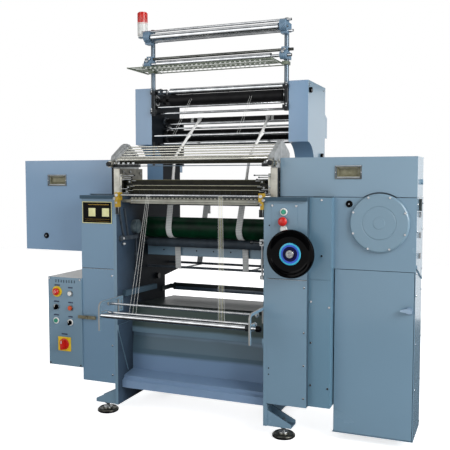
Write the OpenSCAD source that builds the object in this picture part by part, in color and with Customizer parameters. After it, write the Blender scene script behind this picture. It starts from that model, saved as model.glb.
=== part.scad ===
// Crochet knitting machine: an open frame between two side plates, with the knitting head on top,
// a roller tower and a thread mast behind it, gear covers at both sides and a cabinet at the right.
// The front is -Y, the floor is Z = 0 and X = 0 lies midway between the side plates.

/* [Frame] */
// Clear space between the needle bed's end and each side plate
bed_side = 45; // [40:1:60]
// Thickness of each side plate
plate_t = 16; // [12:1:20]
// Height of the side plates' top edge above the floor
frame_h = 1036; // [1030:1:1050]
// Height of the side plates' lower edge
plate_z = 50; // [46:1:56]
// Depth of the side plates at the top
plate_depth = 673; // [665:1:700]
// Depth of the side plates' lower half
leg_depth = 486; // [480:1:500]
// Height of the step at the back of each side plate
step_z = 603; // [590:1:610]
// Thickness of the folded sheet metal
sheet_t = 3; // [2:0.5:4]
// Reach of each foot bracket beside its plate
foot_reach = 108; // [100:1:120]
// Width of each foot bracket, front to back
foot_w = 70; // [60:1:80]
// Diameter of each levelling foot
foot_d = 100; // [80:1:110]
// Diameter of the levelling foot's threaded stem
stem_d = 16; // [12:1:20]

/* [Columns and cabinets] */
// Width of the left column
col_w_left = 176; // [170:1:184]
// Width of the right column
col_w_right = 174; // [168:1:182]
// Depth of the left column
col_d_left = 100; // [90:1:102]
// Depth of the right column
col_d_right = 270; // [265:1:275]
// Height of the columns' lower edge
col_z = 150; // [140:1:160]
// Width of the screwed panel beside the right column
mid_w = 94; // [88:1:100]
// Distance of that panel behind the columns' fronts
mid_y = 31; // [28:1:40]
// Width of the right cabinet
cab_w = 334; // [328:1:350]
// Distance of the cabinet's front behind the columns' fronts
cab_y = 78; // [74:1:82]
// Depth of the right cabinet
cab_d = 222; // [215:1:240]
// Height of the cabinet's lower edge
cab_z = 37; // [30:1:45]
// Height of the cabinet's upper compartment, above the door
shelf_drop = 299; // [292:1:310]
// Thickness of the door
door_t = 18; // [15:1:22]
// Gap around the door
door_gap = 2; // [1.5:0.5:3]
// Diameter of the door's pivot pins
door_pin_d = 6; // [5:0.5:8]
// Radius of the round bolted cover
round_r = 121; // [115:1:125]
// Thickness of the round bolted cover
round_t = 14; // [10:1:18]
// Width of the left gear cover beside the frame
hood_w_left = 577; // [565:1:590]
// Height of both gear covers' tops above the frame
hood_h = 167; // [160:1:175]
// Depth of the left gear cover
hood_d_left = 236; // [232:1:240]
// Depth of the left gear cover's lower edge below the frame's top
hood_drop = 279; // [270:1:290]
// Diameter of the covers' hinge pins
hood_pin_d = 8; // [6:0.5:10]
// Width of the covers' flush pulls
pull_w = 112; // [100:1:120]
// Height of the covers' flush pulls
pull_h = 56; // [50:1:60]

/* [Controls] */
// Width of the control box
box_w = 190; // [184:1:200]
// Height of the control box
box_h = 430; // [422:1:450]
// Depth of the control box
box_d = 350; // [300:5:360]
// Height of the control box's lower edge
box_z = 210; // [200:1:215]
// Diameter of the push buttons' caps
cap_d = 20; // [18:0.5:22]
// Diameter of the mushroom heads
mushroom_d = 34; // [30:1:38]
// Travel of a push button
press_travel = 4; // [2:0.5:5]
// Diameter of the handwheel
wheel_d = 202; // [190:1:206]
// Diameter of the handwheel's shaft
wheel_shaft_d = 24; // [20:1:28]

/* [Drive and rollers] */
// Diameter of the main shaft
shaft_d = 30; // [25:1:31]
// Diameter of the take-down roller
takedown_d = 100; // [96:1:101]
// Diameter of the nip roller below it
nip_d = 46; // [40:1:47]
// Diameter of the large rollers' journals
journal_d = 30; // [24:1:32]
// Radial clearance of each shaft and journal in its bore
run_fit = 0.05; // [0.02:0.01:0.1]
// Gap between two rollers that nip a tape
nip_gap = 2; // [1.6:0.1:2.4]
// Diameter of the rubber feed roller at the tower's top
feed_d = 54; // [50:1:55]
// Diameter of the chrome press roller on it
press_d = 30; // [26:1:31]
// Diameter of the dark middle roller of the tower
mid_roll_d = 34; // [30:1:36]
// Diameter of the dark low roller of the tower
low_roll_d = 62; // [56:1:64]
// Diameter of the chrome roller on the mast
top_roll_d = 36; // [32:1:38]
// Diameter of the rotating bar on the front tray
tray_bar_d = 22; // [20:1:24]
// Diameter of the plain guide rods
rod_d = 12; // [10:0.5:12]

/* [Knitting head] */
// Length of the needle bed
needle_w = 630; // [600:5:640]
// Sideways travel of each weft bar, each way
weft_travel = 8; // [4:1:9]
// Front to back travel of the needle bar, each way
needle_travel = 7; // [4:1:8]
// Height of the head blocks
head_h = 125; // [120:1:128]

/* [Tower and mast] */
// Height of the tower above the frame
tower_h = 531; // [525:1:540]
// Distance of the tower's front behind the frame's front
tower_y = 350; // [346:1:352]
// Width of each tower box
tower_w = 93; // [88:1:100]
// Depth of the box on the back of each tower
bump_d = 68; // [60:1:75]
// Height of the mast's posts above the tower
mast_h = 283; // [278:1:300]
// Diameter of the mast's posts
post_d = 22; // [18:1:22]
// Diameter of the signal lamp
lamp_d = 50; // [44:1:54]
// Height of the signal lamp
lamp_h = 124; // [118:1:140]

/* [Hidden] */
$fn = 48;
// Frame faces: inner and outer face of each side plate
xi = needle_w / 2 + bed_side;
xo = xi + plate_t;
// Outer faces of the columns, the screwed panel and the cabinets
col_x_left = xo + col_w_left;
col_x_right = xo + col_w_right;
cab_x0 = col_x_right + mid_w;
cab_x1 = cab_x0 + cab_w;
cab_y1 = cab_y + cab_d;
hood_x_left = xo + hood_w_left;
hood_top = frame_h + hood_h;
hood_z_left = frame_h - hood_drop;
shelf_z = frame_h - shelf_drop;
weft_w = needle_w + 2;
// The covers stand a little back from the cabinet's front and end above the frame
hood_y_left = 104;
hood_y_right = cab_y + 5;
hood_gap = 2;
hood_in = 30;
hinge_drop = 12;
hinge_in = 8;
hinge_z = hood_top - hinge_drop;
hinge_y_left = hood_y_left + hood_d_left - hinge_in;
hinge_y_right = cab_y1 - hinge_in;
knuckle_d = 2 * hinge_in;
// Main shaft, handwheel and gearbox
shaft_y = 165;
shaft_z = frame_h - 32;
shaft_end = 84;
wheel_x = xo + 117;
wheel_z = frame_h - 231;
box_front = -7;
// Take-down group
takedown_y = 250;
takedown_z = frame_h - 159;
nip_y = 262;
nip_drop = sqrt(pow((takedown_d + nip_d) / 2 + nip_gap, 2) - pow(nip_y - takedown_y, 2));
nip_z = takedown_z - nip_drop;
// Needle bed and bars, measured from the frame's top
bed_y0 = 45;
bed_y1 = 70;
bed_z0 = frame_h - 38;
bed_z1 = frame_h - 15;
needle_y = bed_y1 + needle_travel + 15;
needle_d = 18;
pin_d = 10;
pin_x = needle_w / 2 + bed_side * 0.4;
pin_z = frame_h - 24;
weft_y = 80;
weft_z = [frame_h + 63.5, frame_h + 38, frame_h + 18];
weft_h = 19;
weft_rod_d = 8;
head_x = xi + 12;
head_t = 31;
head_y0 = 52;
head_y1 = 271;
front_bar_z = frame_h + 2;
front_bar_d = 10;
// Rack above the bars, from its low front to its high back
rack_y0 = 33;
rack_z0 = frame_h + 165;
rack_y1 = 138;
rack_z1 = frame_h + 227;
rack_x = head_x + 6;
// Tower rollers and rods, measured from the tower's front and the frame's top
feed_y = tower_y + 30;
feed_z = frame_h + 470;
press_y = feed_y - 5;
press_z = feed_z + sqrt(pow((feed_d + press_d) / 2 + 0.6, 2) - 25);
mid_roll_y = tower_y + 150;
mid_roll_z = frame_h + 373;
low_roll_y = tower_y + 170;
low_roll_z = frame_h + 299;
tape_rod_y = tower_y + 20;
tape_rod_z = frame_h + 293;
tape_rod_d = 14;
arch_r = 120;
leg_y = tower_y + arch_r;
tower_x = xi + tower_w;
small_journal_d = 12;
// Mast
mast_z0 = frame_h + tower_h - 137;
mast_z1 = frame_h + tower_h + mast_h;
post_x = xi - post_d / 2;
top_roll_y = 295;
top_roll_z = mast_z1 - 45;
low_bar_z = mast_z1 - 174;
grid_z = mast_z1 - 203;
// Front tray
tray_y = -150;
tray_z = frame_h - 531;
tray_edge = 14;
tray_t = 8;
// Control box place and the heights of its controls
box_x1 = -col_x_left;
box_x0 = box_x1 - box_w;
ctl_left = box_x0 + 50;
ctl_right = box_x0 + 127;
stem_fit = 0.08;
// Overall box, used to centre the machine on the origin
reach_right = 12;
x_lo = -hood_x_left;
x_hi = cab_x1 + reach_right;
y_lo = tray_y - tray_edge;
y_hi = plate_depth + bump_d;
shift_x = -(x_lo + x_hi) / 2;
shift_y = -(y_lo + y_hi) / 2;

// Helpers: boxes between limits, rods along an axis, and profiles cut out of sheet
module place() translate([shift_x, shift_y, 0]) children();
module slab(x0, x1, y0, y1, z0, z1) translate([x0, y0, z0]) cube([x1 - x0, y1 - y0, z1 - z0]);
module xrod(d, x0, x1, y, z) translate([x0, y, z]) rotate([0, 90, 0]) cylinder(d = d, h = x1 - x0);
module yrod(d, y0, y1, x, z) translate([x, y0, z]) rotate([-90, 0, 0]) cylinder(d = d, h = y1 - y0);
module zrod(d, z0, z1, x, y) translate([x, y, z0]) cylinder(d = d, h = z1 - z0);
module side_cut(x0, x1) translate([x0, 0, 0]) rotate([90, 0, 90]) linear_extrude(x1 - x0) children();
module front_cut(y0, y1) translate([0, y1, 0]) rotate([90, 0, 0]) linear_extrude(y1 - y0) children();
module both() {
  children();
  mirror([1, 0, 0]) children();
}
// A turned body on a Y axis: radii and distances toward the front
module turned(x, y, z, pts) translate([x, y, z]) rotate([90, 0, 0]) rotate_extrude($fn = 96) polygon(pts);

// --- Frame ---
// A foot bracket against a plate's face, drawn from X = 0: a base with two triangular gussets
module foot_bracket(y) {
  difference() {
    slab(0, foot_reach, y, y + foot_w, plate_z, plate_z + 6);
    zrod(stem_d + 0.4, plate_z - 1, plate_z + 7, foot_mid, y + foot_w / 2);
  }
  for (g = [y, y + foot_w - 6])
    front_cut(g, g + 6) polygon([[0, plate_z], [foot_reach, plate_z], [foot_reach, plate_z + 17], [0, plate_z + 71]]);
}
foot_front = 5;
foot_back = leg_depth - foot_w - 11;
foot_mid = foot_reach * 0.6;
module plate_profile() {
  difference() {
    polygon([[0, plate_z], [leg_depth, plate_z], [leg_depth, step_z], [plate_depth, step_z + 17],
      [plate_depth, frame_h], [0, frame_h]]);
    translate([takedown_y, takedown_z]) circle(d = journal_d + 2 * run_fit);
    translate([nip_y, nip_z]) circle(d = journal_d - 6 + 2 * run_fit);
    translate([shaft_y, shaft_z]) circle(d = shaft_d + 2 * run_fit);
  }
}
module side_plate() {
  side_cut(xi, xo) plate_profile();
  // The front brackets reach outward and the rear ones inward
  translate([xo, 0, 0]) foot_bracket(foot_front);
  translate([xi, 0, 0]) mirror([1, 0, 0]) foot_bracket(foot_back);
  // Gusset between the plate's front edge and the apron
  side_cut(xi - 6, xi)
    polygon([[0, tray_z - 75], [apron_y - 12, tray_z - 75], [apron_y - 12, apron_z + apron_h * 0.6],
      [apron_y - 43, apron_z + 6], [apron_y - 50, apron_z + 6], [0, tray_z - 95]]);
}
apron_y = 140;
apron_z = col_z + 40;
apron_h = tray_z - apron_z;
module side_plate_left() {
  color("lightsteelblue") {
    mirror([1, 0, 0]) side_plate();
    // Drum of the take-down's ratchet on the inner face
    xrod(66, -xi, -xi + 24, drum_y, drum_z);
    xrod(50, -xi + 24, -xi + 27, drum_y, drum_z);
  }
}
module side_plate_right() {
  color("lightsteelblue") side_plate();
}
module apron() {
  y = apron_y;
  z = apron_z;
  t = sheet_t;
  fold_low = z + apron_h * 0.324;
  fold_high = z + apron_h * 0.594;
  color("lightsteelblue") {
    side_cut(-xi, xi)
      polygon([[y - 12, z + apron_h - 5], [y - 12 + t, z + apron_h - 5], [y - 12 + t, fold_high], [y + 10 + t, fold_high],
        [y + t, fold_low], [y + t, z], [y, z], [y, fold_low], [y + 10 - 0.4, fold_high - t], [y - 12, fold_high - t]]);
    side_cut(-xi, xi)
      polygon([[y - 102, z - 66], [y - 102, z - 32], [y - 86, z - 24], [y - 86, z - 12], [y - 4, z], [y + t, z],
        [y + t, z - 66]]);
  }
}
beam_y = takedown_y + 50;
beam_z = takedown_z - 144;
module cross_beam() {
  color("lightsteelblue") difference() {
    side_cut(-xi, xi)
      polygon([[beam_y, beam_z], [beam_y, beam_z + 49], [beam_y + 36, beam_z + 79], [beam_y + 36 + sheet_t, beam_z + 76],
        [beam_y + sheet_t, beam_z + 47], [beam_y + sheet_t, beam_z + sheet_t], [beam_y + 30, beam_z + sheet_t],
        [beam_y + 30, beam_z]]);
    for (k = [-3:3]) yrod(8, beam_y - 1, beam_y + sheet_t + 1, k * xi / 4, beam_z + 27);
  }
}
table_y = 194;
table_z = tray_z;
module fabric_table() {
  z = table_z;
  y1 = leg_depth + 66;
  color("dimgray") {
    side_cut(-xi, xi)
      polygon([[table_y, z], [y1 + 36, z - 27], [y1 + 36, z - 27 - sheet_t], [table_y + sheet_t, z - sheet_t],
        [table_y + sheet_t, z - 25], [table_y, z - 25]]);
    // Rear angle bar on two arms from the side plates
    side_cut(-xi + 25, xi - 25)
      polygon([[y1, z + 12], [y1, z + 50], [y1 + 4, z + 50], [y1 + 4, z + 16], [y1 + 28, z + 16], [y1 + 28, z + 12]]);
    both() {
      slab(xi - 25, xi - 19, y1 - 6, y1 + 14, z + 12, z + 50);
      slab(xi - 19, xi, y1 - 6, y1, z + 19, z + 43);
      slab(xi - 6, xi, leg_depth - 40, y1 - 6, z + 19, z + 43);
      // Sloping rail on the plate above the table
      side_cut(xi - 18, xi)
        polygon([[table_y - 150, z + 55], [table_y - 142, z + 82], [table_y + 168, z + 70], [table_y + 168, z + 46]]);
    }
  }
}
// --- Columns, cabinets and covers ---
// Folded column on the right: front, outer side and top, open at the back
module column(w, d) {
  difference() {
    slab(xo, xo + w, 0, d, col_z, frame_h);
    slab(xo - 1, xo + w - sheet_t, sheet_t, d + 1, col_z + sheet_t, frame_h - sheet_t);
  }
  // Overhanging ledge across the column's and the plate's front
  slab(xi, xo + w, -12, 0, frame_h - 16, frame_h);
}
split_z = frame_h - 344;
module split_line(w, d) {
  slab(xo + 2, xo + w + 1, -1, 0.8, split_z - 1, split_z + 1);
  slab(xo + w - 0.8, xo + w + 1, -1, d + 1, split_z - 1, split_z + 1);
}
module column_left() {
  color("lightsteelblue") mirror([1, 0, 0]) difference() {
    column(col_w_left, col_d_left);
    split_line(col_w_left, col_d_left);
  }
}
module column_right() {
  color("lightsteelblue") difference() {
    column(col_w_right, col_d_right);
    split_line(col_w_right, 28);
    yrod(wheel_shaft_d + 4, -1, sheet_t + 1, wheel_x, wheel_z);
    for (b = column_buttons) yrod(stem_hole(), -1, sheet_t + 1, b[0], b[1]);
  }
}
module mid_panel() {
  color("lightsteelblue") difference() {
    union() {
      slab(col_x_right, cab_x0, mid_y, mid_y + sheet_t, col_z, frame_h);
      slab(cab_x0 - sheet_t, cab_x0, mid_y + sheet_t, cab_y + door_t + door_gap + 12, col_z, frame_h);
    }
    slab(col_x_right - 1, cab_x0 + 1, mid_y - 1, mid_y + 0.8, split_z - 1, split_z + 1);
  }
}
mid_screws = [[52, 11], [54, 243], [88, 457], [84, 801], [10, 437], [10, 612], [10, 794]];
col_screws = [[23, 35], [127, 36]];
module panel_screw(x, y, z) yrod(9, y - 3, y, x, z);
module panel_screws() {
  color("silver") {
    for (s = mid_screws) panel_screw(col_x_right + s[0], mid_y, frame_h - s[1]);
    for (s = col_screws) panel_screw(xo + s[0], -plate_ctl_t, frame_h - s[1]);
    for (a = [22.5:45:360]) panel_screw(round_x + (round_r - 8) * cos(a), cab_y - round_t, round_z + (round_r - 8) * sin(a));
    for (x = [box_x0 + 8, box_x1 - 8]) for (z = [box_z + 8, box_z + box_h - 8]) panel_screw(x, box_front, z);
  }
}
module levelling_feet() {
  color("dimgray") both() for (p = [[xo + foot_mid, foot_front], [xi - foot_mid, foot_back]])
    translate([p[0], p[1] + foot_w / 2, 0]) {
    rotate_extrude($fn = 64) polygon([[0, 0], [foot_d / 2 - 4, 0], [foot_d / 2, 4], [foot_d / 2, 11], [foot_d / 2 - 8, 18],
      [foot_d / 2 - 14, 15], [foot_d / 4, 15], [foot_d / 4 - 4, 24], [0, 24]]);
    cylinder(d = stem_d, h = plate_z + 30);
    translate([0, 0, plate_z - 12]) cylinder(d = stem_d + 14, h = 12, $fn = 6);
    translate([0, 0, plate_z + 6]) cylinder(d = stem_d + 14, h = 10, $fn = 6);
  }
}
// Round lock with a square key on a cover's front
module lock(x, y, z) {
  yrod(24, y - 4, y, x, z);
  yrod(8, y - 6, y - 4, x, z);
}
// Lugs that hold a cover's hinge pin on the gear case, and knuckles that hang the cover on the pin
module hinge_lug(x, y, z0) {
  slab(x, x + 10, y - 6, y + 6, z0, hinge_z);
  xrod(12, x, x + 10, y, hinge_z);
}
module hinge_pin(x, y, z0) {
  hinge_lug(x, y, z0);
  hinge_lug(x + 70, y, z0);
  xrod(hood_pin_d, x, x + 80, y, hinge_z);
}
module hinge_knuckle(x, y) {
  difference() {
    union() {
      xrod(knuckle_d, x, x + 50, y, hinge_z);
      slab(x, x + 50, y - hinge_in, y + hinge_in, hinge_z, hood_top - sheet_t);
    }
    xrod(hood_pin_d + 2 * run_fit, x - 1, x + 51, y, hinge_z);
  }
}
case_top = frame_h + 114;
case_low = hood_z_left + 18;
left_hinges = [-hood_x_left + 60, -xo - hood_in - 170];
right_hinges = [xo + hood_in + 90, cab_x1 - 150];
module left_cabinet() {
  color("slategray") {
    difference() {
      front_cut(hood_y_left + 26, 320)
        polygon([[-xo, case_low], [-xo, frame_h - 6], [-xo - hood_in - 9, frame_h - 6], [-xo - hood_in - 9, case_top],
          [-hood_x_left + 23, case_top], [-hood_x_left + 23, case_low]]);
      xrod(shaft_d + 2 * run_fit, -xo - shaft_end - 4, -xo + 1, shaft_y, shaft_z);
      xrod(journal_d + 2 * run_fit, -xo - 14, -xo + 1, takedown_y, takedown_z);
      xrod(journal_d - 6 + 2 * run_fit, -xo - 14, -xo + 1, nip_y, nip_z);
    }
    slab(-hood_x_left + 23, -xo - hood_in - 39, 320, 326, case_low + 40, case_top);
    for (x = left_hinges) hinge_pin(x, hinge_y_left, case_top - 10);
    for (x = left_hinges) slab(x, x + 80, 320, hinge_y_left + 6, case_top - 12, case_top);
  }
}
module right_cabinet() {
  color("lightsteelblue") {
    difference() {
      slab(cab_x0, cab_x1, cab_y, cab_y1, cab_z, frame_h);
      // Upper and lower compartments with the shelf between them
      slab(cab_x0 + sheet_t, cab_x1 - sheet_t, cab_y + sheet_t, cab_y1 - sheet_t, shelf_z + sheet_t, frame_h - sheet_t);
      slab(cab_x0 + sheet_t, cab_x1 - sheet_t, cab_y - 1, cab_y1 - sheet_t, cab_z + sheet_t, shelf_z);
      slab(cab_x0 - 1, cab_x0 + sheet_t + 1, cab_y - 1, cab_y + door_t + door_gap, cab_z + sheet_t, shelf_z);
    }
    for (z = [cab_z + sheet_t, shelf_z - 14]) zrod(door_pin_d, z, z + 14, door_x, door_y);
    lock(cab_x0 + 62, cab_y, frame_h - 27);
    // Catch, clips and stay on the outer side
    slab(cab_x1, cab_x1 + reach_right - 1, 142, 158, frame_h - 54, frame_h - 5);
    for (z = [251, 166, 81]) slab(cab_x1, cab_x1 + 8, 158, 176, frame_h - z, frame_h - z + 22);
    side_cut(cab_x1, cab_x1 + 5)
      polygon([[cab_y + 2, shelf_z + 15], [cab_y + 2, shelf_z + 29], [cab_y1 - 24, shelf_z - 37], [cab_y1 - 24, shelf_z - 51]]);
  }
  color("slategray") {
    slab(xo + hood_in + 8, cab_x1 - 18, hood_y_right + 27, cab_y1 - 10, frame_h, case_top);
    for (x = right_hinges) hinge_pin(x, hinge_y_right, case_top - 10);
  }
}
round_x = cab_x0 + 187;
round_z = frame_h - 104;
module round_cover() {
  color("lightsteelblue")
    turned(round_x, cab_y, round_z, [[0, 0], [round_r, 0], [round_r, round_t - 6], [round_r - 5, round_t], [0, round_t]]);
}
// Flush pull: a rim around a shallow cup, let into a cover's front
pull_depth = 18;
module pull_cup(x, z, y) {
  difference() {
    slab(x, x + pull_w, y - 2, y + pull_depth, z, z + pull_h);
    slab(x + 6, x + pull_w - 6, y - 3, y + pull_depth - 2, z + 6, z + pull_h - 6);
  }
}
pull_left = [-hood_x_left + 137, frame_h + 41];
pull_right = [cab_x0, frame_h + 76];
module left_hood() {
  y = hood_y_left;
  t = sheet_t;
  color("lightsteelblue") {
    difference() {
      union() {
        front_cut(y, y + t)
          polygon([[-hood_x_left, hood_z_left], [-col_x_left - 18, hood_z_left], [-col_x_left - 18, frame_h + hood_gap + 2],
            [-xo - hood_in - 40, frame_h + hood_gap + 2], [-xo - hood_in - 40, hood_top], [-hood_x_left, hood_top]]);
        slab(-hood_x_left, -xo - hood_in - 40, y, y + hood_d_left, hood_top - t, hood_top);
        slab(-hood_x_left, -hood_x_left + t, y, y + hood_d_left - 20, hood_z_left, hood_top);
      }
      slab(pull_left[0] + 2, pull_left[0] + pull_w - 2, y - 1, y + t + 1, pull_left[1] + 2, pull_left[1] + pull_h - 2);
    }
    pull_cup(pull_left[0], pull_left[1], y);
    for (x = left_hinges) hinge_knuckle(x + 15, hinge_y_left);
    lock(-hood_x_left + 123, y, hood_z_left + 71);
  }
}
module right_hood() {
  y = hood_y_right;
  t = sheet_t;
  x0 = xo + hood_in;
  z0 = frame_h + hood_gap;
  color("lightsteelblue") {
    difference() {
      union() {
        slab(x0, cab_x1, y, y + t, z0, hood_top);
        slab(x0, cab_x1, y, cab_y1, hood_top - t, hood_top);
        slab(cab_x1 - t, cab_x1, y, cab_y1 - 20, z0, hood_top);
      }
      slab(pull_right[0] + 2, pull_right[0] + pull_w - 2, y - 1, y + t + 1, pull_right[1] + 2, pull_right[1] + pull_h - 2);
      // Arch that clears the round cover as the hood swings
      yrod(2 * round_r + 10, y - 1, y + t + 1, round_x, round_z);
    }
    pull_cup(pull_right[0], pull_right[1], y);
    for (x = right_hinges) hinge_knuckle(x + 15, hinge_y_right);
    xrod(22, cab_x1, cab_x1 + 10, 192, hood_top - 103);
  }
}
door_x = cab_x0 + 9;
door_y = cab_y + 6;
door_x0 = cab_x0 + 5;
door_x1 = cab_x1 - sheet_t - door_gap;
door_z0 = cab_z + sheet_t + door_gap;
door_z1 = shelf_z - door_gap;
handle_x = door_x1 - 18;
handle_z = shelf_z - 157;
module right_door() {
  color("lightsteelblue") difference() {
    slab(door_x0, door_x1, cab_y, cab_y + door_t, door_z0, door_z1);
    slab(door_x0 + 14, door_x1 - sheet_t, cab_y + sheet_t, cab_y + door_t + 1, door_z0 + sheet_t, door_z1 - sheet_t);
    for (z = [door_z0 - 1, door_z1 - 15]) zrod(door_pin_d + 2 * run_fit, z, z + 16, door_x, door_y);
    yrod(10 + 2 * run_fit, cab_y - 1, cab_y + sheet_t + 1, handle_x, handle_z);
  }
}
module door_handle() {
  color("lightsteelblue") {
    yrod(26, cab_y - 14, cab_y - 0.3, handle_x, handle_z);
    yrod(10, cab_y - 1, cab_y + 12, handle_x, handle_z);
    front_cut(cab_y - 20, cab_y - 10)
      polygon([[handle_x + 12, handle_z - 9], [handle_x + 12, handle_z + 10], [handle_x - 14, handle_z + 9],
        [handle_x - 34, handle_z + 3], [handle_x - 34, handle_z - 3]]);
    slab(handle_x - 7, handle_x + 7, cab_y + 8, cab_y + 11, handle_z - 11, handle_z + 4);
  }
}
// --- Controls ---
plate_ctl_t = 1.5;
column_buttons = [[xo + 73, frame_h - 61], [xo + 71, frame_h - 101], [xo + 73, frame_h - 134]];
bezel_d = cap_d + 8;
bezel_h = 5;
stem_out = cap_d - 6;
function stem_hole() = stem_out + 2 * stem_fit;
// Places of the box's controls: across and up
estop_at = [ctl_left + 2, box_z + 360];
stop_at = [ctl_right, box_z + 354];
upper_at = [ctl_left - 3, box_z + 285];
jog_at = [ctl_right, box_z + 284];
start_at = [ctl_left - 5, box_z + 218];
lower_at = [ctl_right - 1, box_z + 214];
main_at = [ctl_left + 40, box_z + 106];
box_holes = [estop_at, stop_at, upper_at, jog_at, start_at, lower_at];
// A mounted control: turned bezel on the face, bored for the cap's stem
module bezel(p, y) {
  difference() {
    yrod(bezel_d, y - bezel_h, y, p[0], p[1]);
    yrod(stem_hole(), y - bezel_h - 1, y + 1, p[0], p[1]);
    yrod(cap_d + 0.6, y - bezel_h - 1, y - 1, p[0], p[1]);
  }
}
// Push button: a cap that stands out of its bezel, and a stem through the face
module push_button(p, y) {
  yrod(cap_d, y - bezel_h - press_travel - 1, y - 1 - press_travel - 0.3, p[0], p[1]);
  yrod(stem_out, y - 2 - press_travel, y + 24, p[0], p[1]);
}
module mushroom(p, y, d) {
  turned(p[0], y - bezel_h - press_travel - 0.5, p[1], [[0, 0], [d / 2, 0], [d / 2, 6], [d / 2 - 4, 11], [0, 14]]);
  yrod(stem_out, y - bezel_h - press_travel - 1, y + 24, p[0], p[1]);
}
// Turning knob with a grip bar
module knob(p, y, d, grip) {
  yrod(d, y - 6, y - 0.3, p[0], p[1]);
  slab(p[0] - d * 0.16, p[0] + d * 0.16, y - 6 - grip, y - 5, p[1] - d / 2, p[1] + d / 2);
  yrod(stem_out, y - 1, y + 24, p[0], p[1]);
}
module control_box() {
  x0 = box_x0;
  x1 = box_x1;
  y = box_front;
  color("lightsteelblue") {
    difference() {
      slab(x0, x1, y, y + box_d, box_z, box_z + box_h);
      slab(x0 + sheet_t, x1 - sheet_t, y + sheet_t, y + box_d + 1, box_z + sheet_t, box_z + box_h - sheet_t);
      for (p = box_holes) yrod(stem_hole(), y - 1, y + sheet_t + 1, p[0], p[1]);
      yrod(stem_hole(), y - 1, y + sheet_t + 1, main_at[0], main_at[1]);
      for (i = [0:7]) slab(x0 + 42 + i * 15, x0 + 47 + i * 15, y - 1, y + sheet_t + 1, box_z + box_h - 26, box_z + box_h - 12);
    }
    // Back lid, inside the box's walls
    slab(x0 + sheet_t, x1 - sheet_t, y + box_d - 2 * sheet_t, y + box_d - sheet_t, box_z + sheet_t, box_z + box_h - sheet_t);
  }
}
module button_bezels() {
  color("silver") {
    for (p = [stop_at, upper_at, jog_at, start_at, lower_at]) bezel(p, box_front);
    for (b = column_buttons) bezel(b, -plate_ctl_t);
  }
  color("lightsteelblue") difference() {
    slab(xo + 20, xo + 132, -plate_ctl_t, 0, frame_h - 180, frame_h - 27);
    for (b = column_buttons) yrod(stem_hole(), -plate_ctl_t - 1, 1, b[0], b[1]);
  }
}
module yellow_plates() {
  color("gold") {
    difference() {
      yrod(mushroom_d + 18, box_front - bezel_h, box_front, estop_at[0], estop_at[1]);
      yrod(stem_hole(), box_front - bezel_h - 1, box_front + 1, estop_at[0], estop_at[1]);
    }
    difference() {
      slab(main_at[0] - 36, main_at[0] + 36, box_front - 3, box_front, main_at[1] - 34, main_at[1] + 34);
      yrod(stem_hole(), box_front - 4, box_front + 1, main_at[0], main_at[1]);
    }
  }
}
module estop_button() {
  color("red") mushroom(estop_at, box_front, mushroom_d);
}
module jog_button() {
  color("orangered") push_button(jog_at, box_front);
}
module stop_button() {
  color("white") push_button(stop_at, box_front);
}
module start_button() {
  color("green") push_button(start_at, box_front);
}
module selector_upper() {
  color("black") knob(upper_at, box_front - bezel_h, cap_d + 2, 9);
}
module selector_lower() {
  color("black") knob(lower_at, box_front - bezel_h, cap_d + 2, 9);
}
module main_switch() {
  color("red") knob(main_at, box_front - 3, 46, 20);
}
module column_start() {
  color("green") push_button(column_buttons[0], -plate_ctl_t);
}
module column_stop() {
  color("red") mushroom(column_buttons[1], -plate_ctl_t, mushroom_d - 4);
}
module column_jog() {
  color("white") push_button(column_buttons[2], -plate_ctl_t);
}
// Bare name plate: a bordered field with two pale squares
module name_plate() {
  color("black") {
    slab(-xo - 169, -xo - 7, -1.5, 0, frame_h - 132, frame_h - 29);
    for (x = [-xo - 134, -xo - 60]) slab(x, x + 38, -2, -1.5, frame_h - 99, frame_h - 60);
  }
}
// --- Drive ---
module drive_unit() {
  y0 = 110;
  y1 = 222;
  z0 = wheel_z - 65;
  color("slategray") {
    // Closed gearbox on the plate's outer face, bored for the main shaft and the handwheel's shaft
    difference() {
      slab(xo, xo + 164, y0, y1, z0, shaft_z + shaft_d / 2 + 8);
      xrod(shaft_d + 2 * run_fit, xo - 1, xo + shaft_end + 14, shaft_y, shaft_z);
      yrod(wheel_shaft_d + 2 * run_fit, y0 - 1, y0 + 74, wheel_x, wheel_z);
    }
    // Motor that hangs below the gearbox
    zrod(104, z0 - 10, z0, xo + 82, shaft_y);
    zrod(96, z0 - 240, z0 - 10, xo + 82, shaft_y);
    for (a = [0:30:359]) translate([xo + 82, shaft_y, 0]) rotate(a) slab(46, 52, -1.5, 1.5, z0 - 220, z0 - 40);
    slab(xo + 52, xo + 112, shaft_y - 66, shaft_y - 46, z0 - 180, z0 - 100);
  }
}
module main_shaft() {
  color("silver") xrod(shaft_d, -xo - shaft_end, xo + shaft_end + 10, shaft_y, shaft_z);
}
module handwheel() {
  r = wheel_d / 2;
  color("black") {
    turned(wheel_x, -40, wheel_z,
      [[0, 0], [40, 0], [56, 4], [r - 14, 4], [r - 8, 0], [r - 3, 2], [r, 7], [r, 15], [r - 4, 21], [r - 10, 23],
        [r - 18, 21], [r - 24, 14], [48, 12], [46, 16], [26, 16], [24, 20], [16, 20], [15, 26], [0, 26]]);
    yrod(wheel_shaft_d, -41, 182, wheel_x, wheel_z);
  }
}
// --- Take-down, rods and tray ---
roll_in = 30;
module takedown_roller() {
  color("darkgreen") {
    xrod(takedown_d, -xi + roll_in, xi - 8, takedown_y, takedown_z);
    xrod(journal_d, -xo - 12, xo + 12, takedown_y, takedown_z);
  }
}
module nip_roller() {
  color("dimgray") {
    xrod(nip_d, -xi + roll_in, xi - 8, nip_y, nip_z);
    xrod(journal_d - 6, -xo - 12, xo + 12, nip_y, nip_z);
  }
}
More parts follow.
